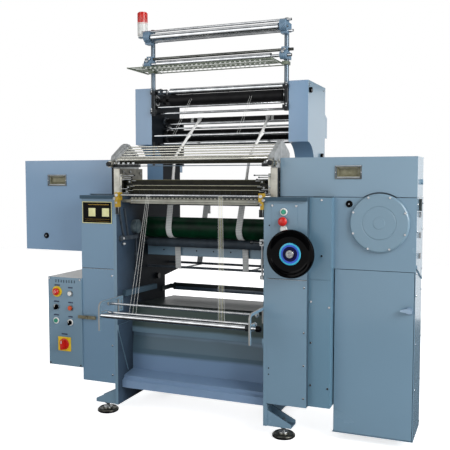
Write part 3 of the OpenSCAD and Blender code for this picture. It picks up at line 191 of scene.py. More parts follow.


# sheet steel in blue stove enamel: a calm satin blue that shifts a little from panel to panel, with some darker and
# paler copies that carry painted shade and painted light
blueEnamel = enamel("blueStoveEnamel", "6D899C", "7390A4", 0.26)
hoodEnamel = enamel("blueStoveEnamelOnCovers", "7191AF", "7797B6", 0.26)
# greyer blue of the right hood, also used on the right tower's outer side as painted light
greyBlueEnamel = enamel("greyBlueEnamel", "7791A3", "7D97A9", 0.26)
# darker copy of the blue, as painted shade on the middle panel beside the column
midEnamel = enamel("shadedBlueEnamel", "5E7F94", "63869B", 0.34)
leftEnamel = enamel("blueEnamelOnLeftColumn", "6887A0", "6E8EA7", 0.34)
discEnamel = enamel("blueEnamelOnDisc", "708B9C", "7790A0", 0.3)
slateEnamel = enamel("slateEnamel", "4A5A6A", "56687A", 0.34)
# pale grey copy for painted light: the tray brackets' bright edges and the lit top of the control box
paintedLightEnamel = enamel("paleGreyEnamelForPaintedLight", "8D8E8C", "999A98", 0.35)
apronEnamel = apronMaterial()
# painted shade: darkened enamels for inner faces, gaps and recesses, so that they read as shadowed, and a dark grey
# painted sheet
shadeEnamel = innerShadeEnamel()
shadowEnamel = plainSurface("enamelInTheGaps", "3A4E5B", "455A69", 0.6, spot=200, specular=0.1)
darkSheet = plainSurface("darkGreyPaintedSheet", "252C2C", "394040", 0.35, spot=90, grain=2, height=0.05, edge=1.2,
                         specular=0.25)
# painted castings: soft edges and a pebbled skin under the paint
blueCastPaint = plainSurface("paintedCasting", "5F7A90", "6F8AA1", 0.4, spot=40, grain=5, height=0.3, edge=2.0)
handlePaint = plainSurface("paintedLeverCasting", "8299B0", "9AB1C6", 0.28, spot=40)
castIron = plainSurface("paintedCastIron", "363E46", "475059", 0.6, spot=25, grain=2.5, height=0.25, edge=2.0,
                        specular=0.25)
wornCasting = plainSurface("wornPaintedCasting", "3C4A52", "6D7C80", 0.62, spot=34, grain=5, height=0.3, edge=2.0,
                           specular=0.25)
castSilver = plainSurface("silverPaintedCasting", "8E9192", "B4B7B8", 0.48, 0.35, spot=22, grain=4, height=0.25,
                          edge=1.6)
yellowZinc = plainSurface("yellowPaintedCasting", "A3820E", "B99416", 0.36, spot=14)
# bright metals: ground, plated and rolled steel, with reflections as sharp as their finish
groundSteel = turnedMetal("groundSteel", "85878A", "A9ABAD", 0.26)
chromePlate = turnedMetal("hardChromePlate", "A9ACAF", "CBCDCF", 0.1)
millSteel = plainSurface("milledSteel", "8F8E86", "ACAAA1", 0.34, 1.0, spot=30, grain=0.8, height=0.03, edge=1.0)
zincSteel = plainSurface("zincPlatedSteel", "8A8D8F", "B4B6B7", 0.3, 1.0, spot=12)
rackSteel = plainSurface("polishedNickelRod", "C9C8BE", "D6D5CC", 0.16, 0.9, spot=200, height=0.002)
bedSteel = plainSurface("brushedNickelSteel", "8B8B81", "A9A99E", 0.4, 0.5, spot=60)
# pale steel, also laid on as thin strips that are painted highlights
edgeSteelAndPaintedHighlight = plainSurface("polishedSteelAndPaintedHighlight", "C2C6C8", "D2D5D6", 0.4, 0.2, spot=12)
pullSteel = plainSurface("pressedStainlessSteel", "53585A", "686D6E", 0.32, 0.5, spot=20)
# dull metals: oil, heat and age have taken their shine
pullShade = plainSurface("shadedPressedSteel", "6A6850", "85826A", 0.45, 0.2, spot=14)
# darker copy of the milled steel, as painted shade on the left head block's inner face
shadedMillSteel = plainSurface("milledSteelInPaintedShade", "4C4B45", "6C6B62", 0.36, 0.7, spot=24)
footSteel = plainSurface("oiledTurnedSteel", "3A3A36", "5C5B54", 0.3, 0.8, spot=16)
catchSteel = plainSurface("yellowedZincSteel", "5F5B48", "938E76", 0.35, 0.6, spot=14)
darkBar = plainSurface("drawnSteelBar", "3E403D", "72746F", 0.24, 0.9, spot=60)
bronzeBar = plainSurface("oiledBlackBar", "0E0E06", "1D1C0F", 0.34, spot=26, specular=0.12)
# also used for black discs and faces that stand for the shade in holes and gaps
blackSteelAndPaintedShade = plainSurface("blackenedSteelAndPaintedShade", "101214", "202427", 0.4, spot=20, specular=0.25)
postSteel = plainSurface("greySteelTube", "5E6C79", "77848F", 0.36, 0.7, spot=30)
meshWire = plainSurface("greenZincWire", "66705F", "8B9384", 0.38, 0.6, spot=30)
postTube = postMaterial()
# rollers' rubber coverings: matt, nearly without highlights
# also laid as dark strips in gaps, as painted shade
blackRubberAndPaintedShade = plainSurface("blackRollerRubberAndPaintedShade", "0C0C0E", "18181A", 0.45, spot=30, grain=0.7, height=0.05, edge=1.0,
                           specular=0.15)
greenRubber = plainSurface("greenRollerRubber", "00190D", "00361D", 0.4, spot=60, grain=0.8, height=0.03, edge=1.0,
                           specular=0.14)
slateRubber = plainSurface("greyRollerRubber", "2C353D", "3A444D", 0.5, spot=40, specular=0.2)
# moulded plastics: even, saturated colour with a soft highlight
blackPhenolic = plainSurface("blackMouldedPhenolic", "020203", "060607", 0.1, spot=60, grain=3, height=0.01,
                             specular=0.07)
leverMoulding = plainSurface("blackLeverMoulding", "0C1014", "161C22", 0.16, spot=30, height=0.01)
redPlastic = plainSurface("redMouldedPlastic", "B51612", "D4241C", 0.3)
whitePlastic = plainSurface("whiteMouldedPlastic", "DADCD9", "ECEDEA", 0.35)
greenPlastic = plainSurface("greenMouldedPlastic", "1F7A62", "2F9C7E", 0.3)
orangePlastic = plainSurface("orangeMouldedPlastic", "C2471C", "DE5A28", 0.3)
yellowPlastic = plainSurface("yellowMouldedPlastic", "D9B510", "EBC81E", 0.35)
glassRed = plainSurface("redLampLens", "D01810", "EE2A1C", 0.2, spot=30, Transmission_Weight=0.15)
# printed and laid-on films: flat colour, thin edges
labelBlack = plainSurface("blackAnodisedPlate", "040405", "08080A", 0.5, specular=0.08)
goldFoil = plainSurface("goldPrintedFilm", "B08A2E", "D0AA4A", 0.35, 0.6, spot=8)
paleFoil = plainSurface("paleYellowFilm", "D8D59A", "E8E6B2", 0.45)
cyanRing = plainSurface("cyanPrintedRing", "2A9FC0", "3FB6D6", 0.25)
blueRing = plainSurface("bluePrintedRing", "1F49B4", "2D5CCB", 0.22)
navyRing = plainSurface("navyPrintedRing", "08062A", "100C46", 0.3, specular=0.1)
navyPaint = plainSurface("darkBluePrintedStrip", "1E2C44", "2A3A56", 0.45, spot=10)
# pale strips along the weft bars' top edges, as painted highlights
olivePaintedHighlight = plainSurface("olivePaintedHighlightStrip", "55533A", "716E4C", 0.4, spot=40)
ivoryPaintedHighlight = plainSurface("ivoryPaintedHighlightStrip", "A6A48E", "C4C2AC", 0.4, spot=40)

nodeFinish = [  # the frame's nodes that stay as they are, by material
    (apronEnamel, "apron"), (midEnamel, "mid_panel"), (hoodEnamel, "left_hood"), (greyBlueEnamel, "right_hood"),
    (blueEnamel, "right_door left_cabinet"), (handlePaint, "door_handle"), (blueCastPaint, "mast_clamps"),
    (castIron, "drive_unit needle_bar"), (yellowPlastic, "yellow_plates"), (groundSteel, "main_shaft"),
    (chromePlate, "panel_screws press_roller top_roller"), (leverMoulding, "takedown_lever"),
    (redPlastic, "estop_button main_switch"), (orangePlastic, "jog_button"),
    (whitePlastic, "stop_button column_jog"), (greenPlastic, "start_button column_start"),
    (blackPhenolic, "selector_upper selector_lower"), (greenRubber, "takedown_roller"),
    (slateRubber, "nip_roller"), (bronzeBar, "weft_bar_1 weft_bar_2 weft_bar_3"),
    (blackRubberAndPaintedShade, "feed_roller_top feed_roller_mid feed_roller_low"),
]
for finish, names in nodeFinish:
    for name in names.split():
        nodes[name].data.materials.clear()
        nodes[name].data.materials.append(finish)
print("materials on the frame's nodes")


# shared helpers for meshes and repeated parts
def localPoint(x, y, z):  # millimetres around a shape's own origin
    return Vector((x, y, z)) / 1000


def addBox(bm, x0, x1, y0, y1, z0, z1, slot=0, edge=0.0, place=at, steps=2):
    # block between limits in millimetres, its edges rounded by this much
    made = bmesh.ops.create_cube(bm, size=1.0)["verts"]
    low, high = place(min(x0, x1), y0, z0), place(max(x0, x1), y1, z1)
    for v in made:
        v.co = Vector((low[i] + (high[i] - low[i]) * (v.co[i] + 0.5) for i in range(3)))
        for f in v.link_faces:
            f.material_index = slot
    if edge:
        edges = list({e for v in made for e in v.link_edges})
        bmesh.ops.bevel(bm, geom=edges, offset=edge / 1000, segments=steps, profile=0.5, affect="EDGES")


def skin(bm, rings, slot=0, smooth=True):
    # walls between rings of points, where a ring of one point is a pole, and a cap on each open end
    made = []
    for low, high in zip(rings, rings[1:]):
        count = max(len(low), len(high))
        for k in range(count):
            n = (k + 1) % count
            if len(low) == 1:
                made.append(bm.faces.new((low[0], high[n], high[k])))
            elif len(high) == 1:
                made.append(bm.faces.new((low[k], low[n], high[0])))
            else:
                made.append(bm.faces.new((low[k], low[n], high[n], high[k])))
    made += [bm.faces.new(ring) for ring in (rings[0][::-1], rings[-1]) if len(ring) > 1]
    for f in made:
        f.material_index = slot
        f.smooth = smooth and len(f.verts) <= 4


def addTurned(bm, start, way, profile, slot=0, segments=32):
    # turned body from a point in millimetres along a direction, its profile as (distance along, radius) pairs
    way = Vector(way).normalized()
    across = way.orthogonal().normalized()
    other = way.cross(across)
    turn = [2 * math.pi * k / segments for k in range(segments)]
    spokes = [across * math.cos(a) + other * math.sin(a) for a in turn]
    rings = []
    for along, radius in profile:
        middle = at(*start) + way * (along / 1000)
        rings.append([bm.verts.new(middle + spoke * (radius / 1000)) for spoke in (spokes if radius > 0 else spokes[:1])])
    skin(bm, rings, slot)


def addRod(bm, start, end, width, slot=0, segments=20, edge=0.6):
    way = Vector(end) - Vector(start)
    r, e = width / 2, min(edge, width / 4, way.length * 0.3)
    addTurned(bm, start, way, [(0, r - e), (e, r), (way.length - e, r), (way.length, r - e)], slot, segments)


def addPlate(bm, outline, low, high, slot=0):
    # flat plate between two planes across X, from its outline in Y and Z
    rings = [[bm.verts.new(at(x, y, z)) for y, z in outline] for x in (low, high)]
    skin(bm, rings, slot, smooth=False)


def band(inner, outer, length):  # profile of a plain ring
    return [(0, inner), (0, outer), (length, outer), (length, inner)]


def socketHead(radius, height, chamfer, top, hole, floor, foot=0):
    # profile of a screw's head with a socket: its rim is cut down to the radius at the top
    return [(foot, radius), (height, radius), (height + chamfer, top), (height + chamfer, hole), (floor, hole - 0.2)]


def meshOf(name, bm, turnOutward=True):
    if turnOutward:  # not for a copy of a frame node or an open cloth, whose faces already point the right way
        bmesh.ops.recalc_face_normals(bm, faces=bm.faces)
    mesh = bpy.data.meshes.new(name)
    bm.to_mesh(mesh)
    bm.free()
    return mesh


def setOut(name, data, finishes, body, replaces=()):
    # puts a finished shape into the scene with its materials, riding on its body
    for finish in finishes:
        data.materials.append(finish)
    piece = bpy.data.objects.new(name, data)
    scene.collection.objects.link(piece)
    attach(piece, body)
    if replaces:
        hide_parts(*replaces)
    return piece


def finishPiece(name, bm, finishes, body, replaces=()):
    # turns the built shape into a piece: all faces outward, sharp where it folds
    mesh = meshOf(name, bm)
    mesh.set_sharp_from_angle(angle=sharpAngle)
    return setOut(name, mesh, finishes, body, replaces)


def copiesTree(name, finish, inRow):
    # Geometry Nodes: copies of a source shape, in a straight row or on the holder's points along their own directions
    tree = bpy.data.node_groups.new(name, "GeometryNodeTree")
    sockets = [("Geometry", "Geometry"), ("Source", "Object"), ("Size", "Float")]
    if inRow:
        sockets += [("Count", "Int"), ("Start", "Vector"), ("Step", "Vector")]
    for label, kind in sockets:
        tree.interface.new_socket(label, in_out="INPUT", socket_type="NodeSocket" + kind)
    tree.interface.new_socket("Geometry", in_out="OUTPUT", socket_type="NodeSocketGeometry")
    given = tree.nodes.new("NodeGroupInput").outputs
    source = addNode(tree, "GeometryNodeObjectInfo", {"Object": given["Source"]}, transform_space="ORIGINAL")
    copies = {"Instance": source.outputs["Geometry"], "Scale": given["Size"]}
    if inRow:
        line = addNode(tree, "GeometryNodeMeshLine", {
            "Count": given["Count"], "Start Location": given["Start"], "Offset": given["Step"]})
        copies["Points"] = line.outputs["Mesh"]
    else:
        facing = addNode(tree, "GeometryNodeInputNamedAttribute", {"Name": "facing"}, data_type="FLOAT_VECTOR")
        turned = addNode(tree, "FunctionNodeAlignRotationToVector", {"Vector": facing.outputs["Attribute"]}, axis="Z")
        copies.update({"Points": given["Geometry"], "Rotation": turned.outputs["Rotation"]})
    placed = addNode(tree, "GeometryNodeInstanceOnPoints", copies)
    real = addNode(tree, "GeometryNodeRealizeInstances", {"Geometry": placed.outputs["Instances"]})
    coat = addNode(tree, "GeometryNodeSetMaterial", {"Geometry": real.outputs["Geometry"], "Material": finish})
    addNode(tree, "NodeGroupOutput", {"Geometry": coat.outputs["Geometry"]})
    return tree


def repeatPiece(name, buildShape, finish, body, places=(), **row):
    # one piece from many copies: places are (point, direction) pairs in millimetres, a row has Count, Start and Step
    bm = bmesh.new()
    buildShape(bm)
    source = bpy.data.objects.new(name + "_shape", meshOf(name + "_shape", bm))
    points = bpy.data.meshes.new(name + "_points")
    points.from_pydata([at(*p) for p, way in places], [], [])
    facing = points.attributes.new("facing", "FLOAT_VECTOR", "POINT")
    for k, (p, way) in enumerate(places):
        facing.data[k].vector = way
    holder = bpy.data.objects.new(name + "_holder", points)
    for thing in (source, holder):
        scene.collection.objects.link(thing)
    build = holder.modifiers.new("build", "NODES")
    build.node_group = copiesTree(name + "_tree", finish, bool(row))
    settings = {"Source": source, "Size": 1.0, **row}
    for item in build.node_group.interface.items_tree:
        if item.in_out == "INPUT" and item.name in settings:
            build[item.identifier] = settings[item.name]
    mesh = bpy.data.meshes.new_from_object(holder.evaluated_get(bpy.context.evaluated_depsgraph_get()))
    holder.modifiers.clear()
    mesh.name = name
    for thing in (source, holder):
        bpy.data.objects.remove(thing)
    setOut(name, mesh, [], body)


def rowPiece(name, buildShape, first, pitch, count, finish, body):
    # a straight row of equal parts along X
    repeatPiece(name, buildShape, finish, body, Count=count, Start=tuple(at(*first)), Step=(pitch / 1000, 0.0, 0.0))


def sourceTurned(profile, segments):
    # small turned part standing on its own origin, for the trees; sizes in millimetres
    turn = [2 * math.pi * k / segments for k in range(segments)]

    def build(bm):
        skin(bm, [[bm.verts.new(localPoint(radius * math.cos(a), radius * math.sin(a), along))
                   for a in (turn if radius > 0 else turn[:1])] for along, radius in profile], smooth=False)
    return build


def mergedCopy(nodeName):  # a frame node's loose triangles joined at their corners
    bm = bmesh.new()
    bm.from_mesh(nodes[nodeName].data)
    bmesh.ops.remove_doubles(bm, verts=bm.verts, dist=0.00002)
    return bm


def repaint(name, nodeName, finishes, choose, body="frame"):
    # a merged copy of a frame node in several finishes: choose(x, y, z, normal) gives a face's place in the list
    bm = mergedCopy(nodeName)
    for f in bm.faces:
        c = f.calc_center_median()
        f.material_index = choose((c[0] - shiftX) * 1000, (c[1] - shiftY) * 1000, c[2] * 1000, f.normal)
    setOut(name, meshOf(name, bm, False), finishes, body, [nodeName])


print("helpers ready")


# warp threads, yarns and tapes
thread = {
    "width": 1.2, "points": 16, "gap": 0.4, "twist": 2.4,  # gap to a rod and length of one twist
    # where the bundles run, each rod as (y, z, diameter)
    "frontBar": (0, 1038, 10), "trayRod": (-100, 510, 12), "feed": (380, 1506, 54), "tapeRod": (370, 1329, 14),
    # per bundle: its middle thread's X at the top and bottom, the spacing there, and the threads to each side
    "left": (-190, 7, -218, 17, 1), "right": (163, 4.5, 210, 7, 2),
    "yarns": {"right": (168, 96), "left": (-146, -250)},  # X at the feed roller and at the tapes' rod
    "yarnSteps": (9, 12), "yarnGap": 1.2,
}


def yarnMaterial(name, hexDark, hexLight):
    # twisted textured polyester: pale, matt, slightly hairy, with the twist as fine slanting stripes
    made, tree, shader, place = startMaterial(name, hexLight, 0.75, Sheen_Weight=0.3)
    slanted = addNode(tree, "ShaderNodeMapping", {"Vector": place, "Rotation": (0.5, 0.0, 0.6)}).outputs["Vector"]
    twist = addNode(tree, "ShaderNodeTexWave", {
        "Vector": slanted, "Scale": 1000 / thread["twist"] / 6.28, "Distortion": 1.5})
    mix = addNode(tree, "ShaderNodeMix", {0: twist.outputs["Fac"], 6: linearOf(hexDark), 7: linearOf(hexLight)},
                  data_type="RGBA")
    tree.links.new(mix.outputs[2], shader.inputs["Base Color"])
    return made


warpYarn = yarnMaterial("whitePolyesterYarn", "D2D3D1", "D8D9D6")
elasticYarn = yarnMaterial("paleYellowRubberYarn", "D0CEA6", "D6D4AE")


def makeCord(name, a, b, finish):
    # a taut thread between two rods: a straight tube with its own centreline
    curve = bpy.data.curves.new(name, "CURVE")
    curve.dimensions = "3D"
    line = curve.splines.new("POLY")
    last = thread["points"] - 1
    line.points.add(last)
    start, end = at(*a), at(*b)
    for k in range(last + 1):
        line.points[k].co = (*start.lerp(end, k / last), 1)
    curve.bevel_depth = thread["width"] / 2000
    curve.bevel_resolution = 2
    curve.use_fill_caps = True
    piece = setOut(name, curve, [finish], "frame", ["warp_threads"])


def makeThreads():
    def clear(rod, gap):  # Y and Z of a thread that passes in front of a rod
        y, z, width = thread[rod]
        return y - width / 2 - gap, z
    gap = thread["width"] / 2 + thread["gap"]
    for side in ("left", "right"):
        top, topStep, foot, footStep, half = thread[side]
        for k in range(-half, half + 1):
            finish = elasticYarn if side == "right" and (k + half) % 2 else warpYarn
            makeCord(f"warp_thread_{side}_{k + half + 1}", (top + topStep * k, *clear("frontBar", gap)),
                     (foot + footStep * k, *clear("trayRod", gap)), finish)
    (highStep, lowStep), gap = thread["yarnSteps"], thread["yarnGap"]
    for k in range(2):
        for side, (high, low) in thread["yarns"].items():
            makeCord(f"yarn_{side}_{k + 1}", (high + highStep * k, *clear("feed", gap)),
                     (low + lowStep * k, *clear("tapeRod", gap)), warpYarn)


makeThreads()
print("threads done")

tape = {
    "width": 30.0, "thick": 0.8, "gap": 0.9, "across": 10, "step": 14,
    "ribs": 3.2, "weft": 4.0, "paintedLightFrom": (1.03, 1.12),  # spacings in the weave, metres of height over which it turns paler as painted light
    # curl of the free spans in radians, the rods that hold them flat, Y and Z past which they lie flat, and how far
    # from a rod and above that Z they are fully curled
    "curl": 2.5, "flatRods": [(370, 1329), (490, 1424)], "flatBehind": 490, "flatBelow": 1060, "curlRamp": (30, 60),
    "centres": {"left": (-156, -160, -173, -192, -186), "right": (214, 221, 211, 170, 170)},  # X on each rod downward
    # the way down, each rod or roller as (y, z, diameter, first and last angle of the arc, points on it)
    "route": [(500, 1409, 34, 60, 122, 10), (370, 1329, 14, 121, 133, 4), (230, 1215, 8, 130, 176, 6),
              (250, 877, 100, 176, 277, 24), (262, 877 - math.sqrt((146 / 2 + 2) ** 2 - 12 ** 2), 46, 97, 4, 16),
              (300, 676, 12, 184, 267, 8), (540, 668, 12, 268, 342, 8), (650, 985, 16, 162, 10, 12)],
    "end": (659.2, 925),
}


def wrapPoints(y, z, width, first, last, count):
    # points of an arc around a rod in the drawing's own Y-Z plane
    r = width / 2 + tape["gap"]
    turn = [math.radians(first + (last - first) * k / count) for k in range(count + 1)]
    return [(y + r * math.cos(a), z + r * math.sin(a)) for a in turn]


def tapeMaterial():
    # narrow woven elastic: off-white, matt, with ribs along it and a fine weft across it, from its own UV map
    made, tree, shader, place = startMaterial("wovenElasticTape", "DADCDA", 0.82, Sheen_Weight=0.25)
    uv = addNode(tree, "ShaderNodeUVMap", uv_map="tapeMap").outputs["UV"]
    ribs = addNode(tree, "ShaderNodeTexWave", {"Vector": uv, "Scale": 1000 / tape["ribs"] / 6.28, "Distortion": 0.2},
                   bands_direction="X")
    weft = addNode(tree, "ShaderNodeTexWave", {"Vector": uv, "Scale": 1000 / tape["weft"] / 6.28, "Distortion": 0.6},
                   bands_direction="Y")
    cloth = addNode(tree, "ShaderNodeMath", {0: ribs.outputs["Fac"], 1: weft.outputs["Fac"]}, operation="ADD").outputs[0]
    share = addNode(tree, "ShaderNodeMapRange", {"Value": cloth, "From Max": 2.0})
    mix = addNode(tree, "ShaderNodeMix", {0: share.outputs["Result"], 6: linearOf("A9ADAF"), 7: linearOf("E6E7E4")},
                  data_type="RGBA")
    height = addNode(tree, "ShaderNodeSeparateXYZ", {"Vector": place})
    # painted light: the tape turns paler above this height, over its free spans
    low, high = tape["paintedLightFrom"]
    lightShare = addNode(tree, "ShaderNodeMapRange", {"Value": height.outputs["Z"], "From Min": low, "From Max": high})
    both = addNode(tree, "ShaderNodeMix", {0: lightShare.outputs["Result"], 6: mix.outputs[2], 7: linearOf("F6F6F4")},
                   data_type="RGBA")
    tree.links.new(both.outputs[2], shader.inputs["Base Color"])
    bump = addNode(tree, "ShaderNodeBump", {"Strength": 0.6, "Distance": 0.0004, "Height": cloth})
    tree.links.new(bump.outputs["Normal"], shader.inputs["Normal"])
    return made


elasticTape = tapeMaterial()


def curlAt(p):
    # how far the tape curls across its width, in radians: free spans above the weft bars roll in, the rest lies flat
    if p.y > tape["flatBehind"] or p.z < tape["flatBelow"]:
        return 0.0
    toRods = min(math.hypot(p.y - y, p.z - z) for y, z in tape["flatRods"])
    fromRod, fromBars = tape["curlRamp"]
    return tape["curl"] * min(1.0, toRods / fromRod) * min(1.0, (p.z - tape["flatBelow"]) / fromBars)


def arcPoint(side, out, half, share, curl):
    # point of the cross-section: an arc of the cut width, nearly closed where it curls, flat on the rollers
    if curl < 0.05:
        return side * half * share
    radius = half / curl
    return side * radius * math.sin(share * curl) + out * radius * (1 - math.cos(share * curl))


def makeTape(name, centres):
    # one ribbon, woven flat, that follows rods and rollers; free spans are cut finely so that it can twist a little
    runs = [wrapPoints(*rod) for rod in tape["route"]] + [[tape["end"]]]
    line = [Vector((centres[min(k, len(centres) - 1)], y, z)) for k, run in enumerate(runs) for y, z in run]
    fine = [line[0]]
    for a, b in zip(line, line[1:]):
        steps = max(1, round((b - a).length / tape["step"]))
        fine += [a.lerp(b, k / steps) for k in range(1, steps + 1)]
    bm = bmesh.new()
    marks = bm.loops.layers.uv.new("tapeMap")
    half, across = tape["width"] / 2, tape["across"]
    rows, lengths = [], [0.0]
    for k, p in enumerate(fine):
        before, after = fine[max(k - 1, 0)], fine[min(k + 1, len(fine) - 1)]
        way = (after - before).normalized()
        side = (Vector((1, 0, 0)) - way * way.x).normalized()
        if k:
            lengths.append(lengths[-1] + (p - before).length)
        out = side.cross(way)
        rows.append([bm.verts.new(at(*(p + arcPoint(side, out, half, 2 * j / across - 1, curlAt(p)))))
                     for j in range(across + 1)])
    for k in range(len(rows) - 1):
        for j in range(across):
            corners = ((j, k), (j + 1, k), (j + 1, k + 1), (j, k + 1))
            f = bm.faces.new([rows[v][u] for u, v in corners])
            f.smooth = True
            for loop, (u, v) in zip(f.loops, corners):
                loop[marks].uv = (u / across * 2 * half / 1000, lengths[v] / 1000)
    piece = setOut(name, meshOf(name, bm, False), [elasticTape], "frame", ["tapes"])
    thick = piece.modifiers.new("thickness", "SOLIDIFY")
    thick.thickness = tape["thick"] / 1000
    thick.offset = 0
    print(name, "is", round(lengths[-1]), "mm long")


for side, centres in tape["centres"].items():
    makeTape("tape_" + side, centres)

# handwheel: glossy black moulding with printed rings around its steel hub
handwheel = {
    "middle": (493, 805), "back": -41.0, "segments": 96, "shaftEnd": 180,
    "outline": [(1, 12), (1, 40), (5, 56), (5, 88), (1.6, 93), (3, 98), (7, 101), (15, 101), (21, 97.6), (23.6, 92),
                (22.6, 86), (19, 81.5), (16.4, 78), (15.4, 70), (15.2, 46.5), (16.6, 46), (17, 45.4), (17, 39),
                (17, 33), (17, 31), (17.4, 19), (20, 17.4), (20.4, 0)],
    "inks": [(39, 46.2, 1), (31.5, 39, 2), (19, 31.5, 3)],  # printed rings: inner and outer radius, finish
    "inkDepth": 14,  # the print lies in front of this depth
}


def makeHandwheel():
    x, z = handwheel["middle"]
    y = handwheel["back"]
    bm = bmesh.new()
    addTurned(bm, (x, y, z), front, handwheel["outline"], 0, handwheel["segments"])
    middle = at(x, y - handwheel["inkDepth"], z)
    for f in bm.faces:
        c = f.calc_center_median()
        r = math.hypot(c.x - middle.x, c.z - middle.z) * 1000
        for low, high, slot in handwheel["inks"]:
            if c.y < middle.y and low < r < high:
                f.material_index = slot
    addTurned(bm, (x, y - 20, z), front, [(0, 16.6), (3, 16.6), (4, 15.6), (4, 11)], 4, 48)  # hub washer
    addTurned(bm, (x, y - 23.6, z), front, [(0, 10), (1.6, 10), (1.8, 7), (0.8, 6.4)], 5, 6)  # hexagon head
    shaft = [(0, 11), (1, 12), (222, 12)]
    addTurned(bm, (x, handwheel["shaftEnd"], z), front, shaft, 5, 36)  # its shaft into the gearbox
    finishPiece("handwheel_wheel", bm, [blackPhenolic, cyanRing, blueRing, navyRing, zincSteel, groundSteel],
                "handwheel", ["handwheel"])


makeHandwheel()

# bare name plate: black with a pale border, two pale fields and gilt rules
namePlate = {
    "x": (-545, -383), "z": (904, 1007), "front": -1.6, "inset": 0.8, "border": 3.0,
    "fields": [(-510, -472), (-436, -398)], "fieldZ": (937, 976),
    "rules": [(34, 16, 87.5, 1.5), (14, 14, 11, 0.6), (14, 14, 20, 0.6)],  # left and right margin, height, width
}


def makeNamePlate():
    x0, x1 = namePlate["x"]
    z0, z1 = namePlate["z"]
    y, w = namePlate["front"], namePlate["border"]
    bm = bmesh.new()
    addBox(bm, x0, x1, y, 0, z0, z1, 0, 0.5)
    a0, a1, b0, b1 = (limit + namePlate["inset"] * turn for limit, turn in ((x0, 1), (x1, -1), (z0, 1), (z1, -1)))
    for c0, c1, d0, d1 in ((a0, a1, b1 - w, b1), (a0, a1, b0, b0 + w),
                           (a0, a0 + w, b0 + w, b1 - w), (a1 - w, a1, b0 + w, b1 - w)):
        addBox(bm, c0, c1, y - 0.35, y, d0, d1, 2)
    for f0, f1 in namePlate["fields"]:
        addBox(bm, f0, f1, y - 0.45, y, *namePlate["fieldZ"], 2, 0.15)
    for left, right, height, wide in namePlate["rules"]:
        addBox(bm, x0 + left, x1 - right, y - 0.3, y, z0 + height, z0 + height + wide, 1)
    finishPiece("name_plate_face", bm, [labelBlack, goldFoil, paleFoil], "frame", ["name_plate"])


makeNamePlate()

# control box and button column: bezels, caps, label strips and pointer lines
controls = {
    "face": -7.0, "columnFace": -1.5, "bezelR": 14.0,
    "caps": {"stop": (-615, 564), "jog": (-615, 494), "start": (-697, 428)},
    "knobs": {"upper": (-695, 495), "lower": (-616, 424)}, "gripFront": -27.0,
    "switchRing": -10.4, "switchFront": -36.4, "estopCollar": -12, "estopFront": -29.6,  # Y of each
    "column": [(449, 975), (449, 902)], "columnStop": (447, 935), "mainSwitch": (-652, 316), "estop": (-690, 570),
    "labels": [(-690, 601, 30), (-615, 592, 26), (-695, 521, 30), (-615, 520, 26), (-697, 455, 30), (-616, 451, 26),
               (-652, 364, 34)],
    "vents": (-700, 5, 15, 8, 614, 628),  # first slot's left side, slot width, pitch and number, lowest and highest Z
}


def makeBezels():
    y, r = controls["face"], controls["bezelR"]
    caps, knobs = controls["caps"], controls["knobs"]
    slim = [(0, r), (3.2, r), (5.0, r - 1.6), (5.0, r - 3.0), (2.2, r - 3.6), (0, r - 3.6)]
    broad = [(0, r), (1.5, r + 1.8), (4.6, r + 1.8), (5.6, r + 0.6), (5.8, r - 2.8), (2.2, r - 3.6), (0, r - 3.6)]
    steel = [((x, y, z), front) for x, z in (caps["stop"], caps["jog"], knobs["upper"])]
    white = [((x, y, z), front) for x, z in (caps["start"], knobs["lower"])]
    white += [((x, controls["columnFace"], z), front) for x, z in controls["column"]]
    repeatPiece("steel_bezels", sourceTurned(slim, 40), zincSteel, "frame", steel)
    repeatPiece("white_bezels", sourceTurned(broad, 40), whitePlastic, "frame", white)


def makeColumnStop():
    # broad red mushroom of the column's stop on its stem, with a steel collar
    x, z = controls["columnStop"]
    y = controls["columnFace"]
    mushroom = [(0, 16), (1, 18.4), (3, 19.4), (6, 19.2), (9, 16.8), (11.4, 12), (12.8, 6), (13.2, 0)]
    bm = bmesh.new()
    addTurned(bm, (x, y + 22, z), front, [(0, 6), (0.6, 7), (32, 7)], 1, 24)
    addTurned(bm, (x, y - 9.6, z), front, mushroom, 0, 48)
    finishPiece("column_stop_cap", bm, [redPlastic, zincSteel], "column_stop", ["column_stop"])
    bm = bmesh.new()
    addTurned(bm, (x, y, z), front, [(0, 16), (1.6, 16), (2.4, 15), (4.6, 10.5), (5, 8.4)], 0, 40)
    finishPiece("column_stop_collar", bm, [zincSteel], "frame")


def bezelFinish(x, y, z, n):
    # the button column's blue plate apart from its bezels, which are one node
    around = [*controls["column"], controls["columnStop"]]
    onPlate = 390 < x < 515 and not any(abs(x - px) < 15 and abs(z - pz) < 15 for px, pz in around)
    return 1 if onPlate else 0


def makeBoxLabels():
    y = controls["face"]
    bm = bmesh.new()
    for x, z, width in controls["labels"]:
        addBox(bm, x - width / 2, x + width / 2, y - 0.6, y, z - 3.2, z + 3.2, 0, 0.2)
    finishPiece("control_labels", bm, [navyPaint], "frame")
    left, wide, pitch, count, low, high = controls["vents"]
    bm = bmesh.new()
    for k in range(count):  # painted shade: a dark sheet behind the vents, so that their slots read as shadowed
        addBox(bm, left + k * pitch, left + k * pitch + wide, y + 3, y + 4.2, low, high)
    finishPiece("vent_screen", bm, [darkSheet], "frame")


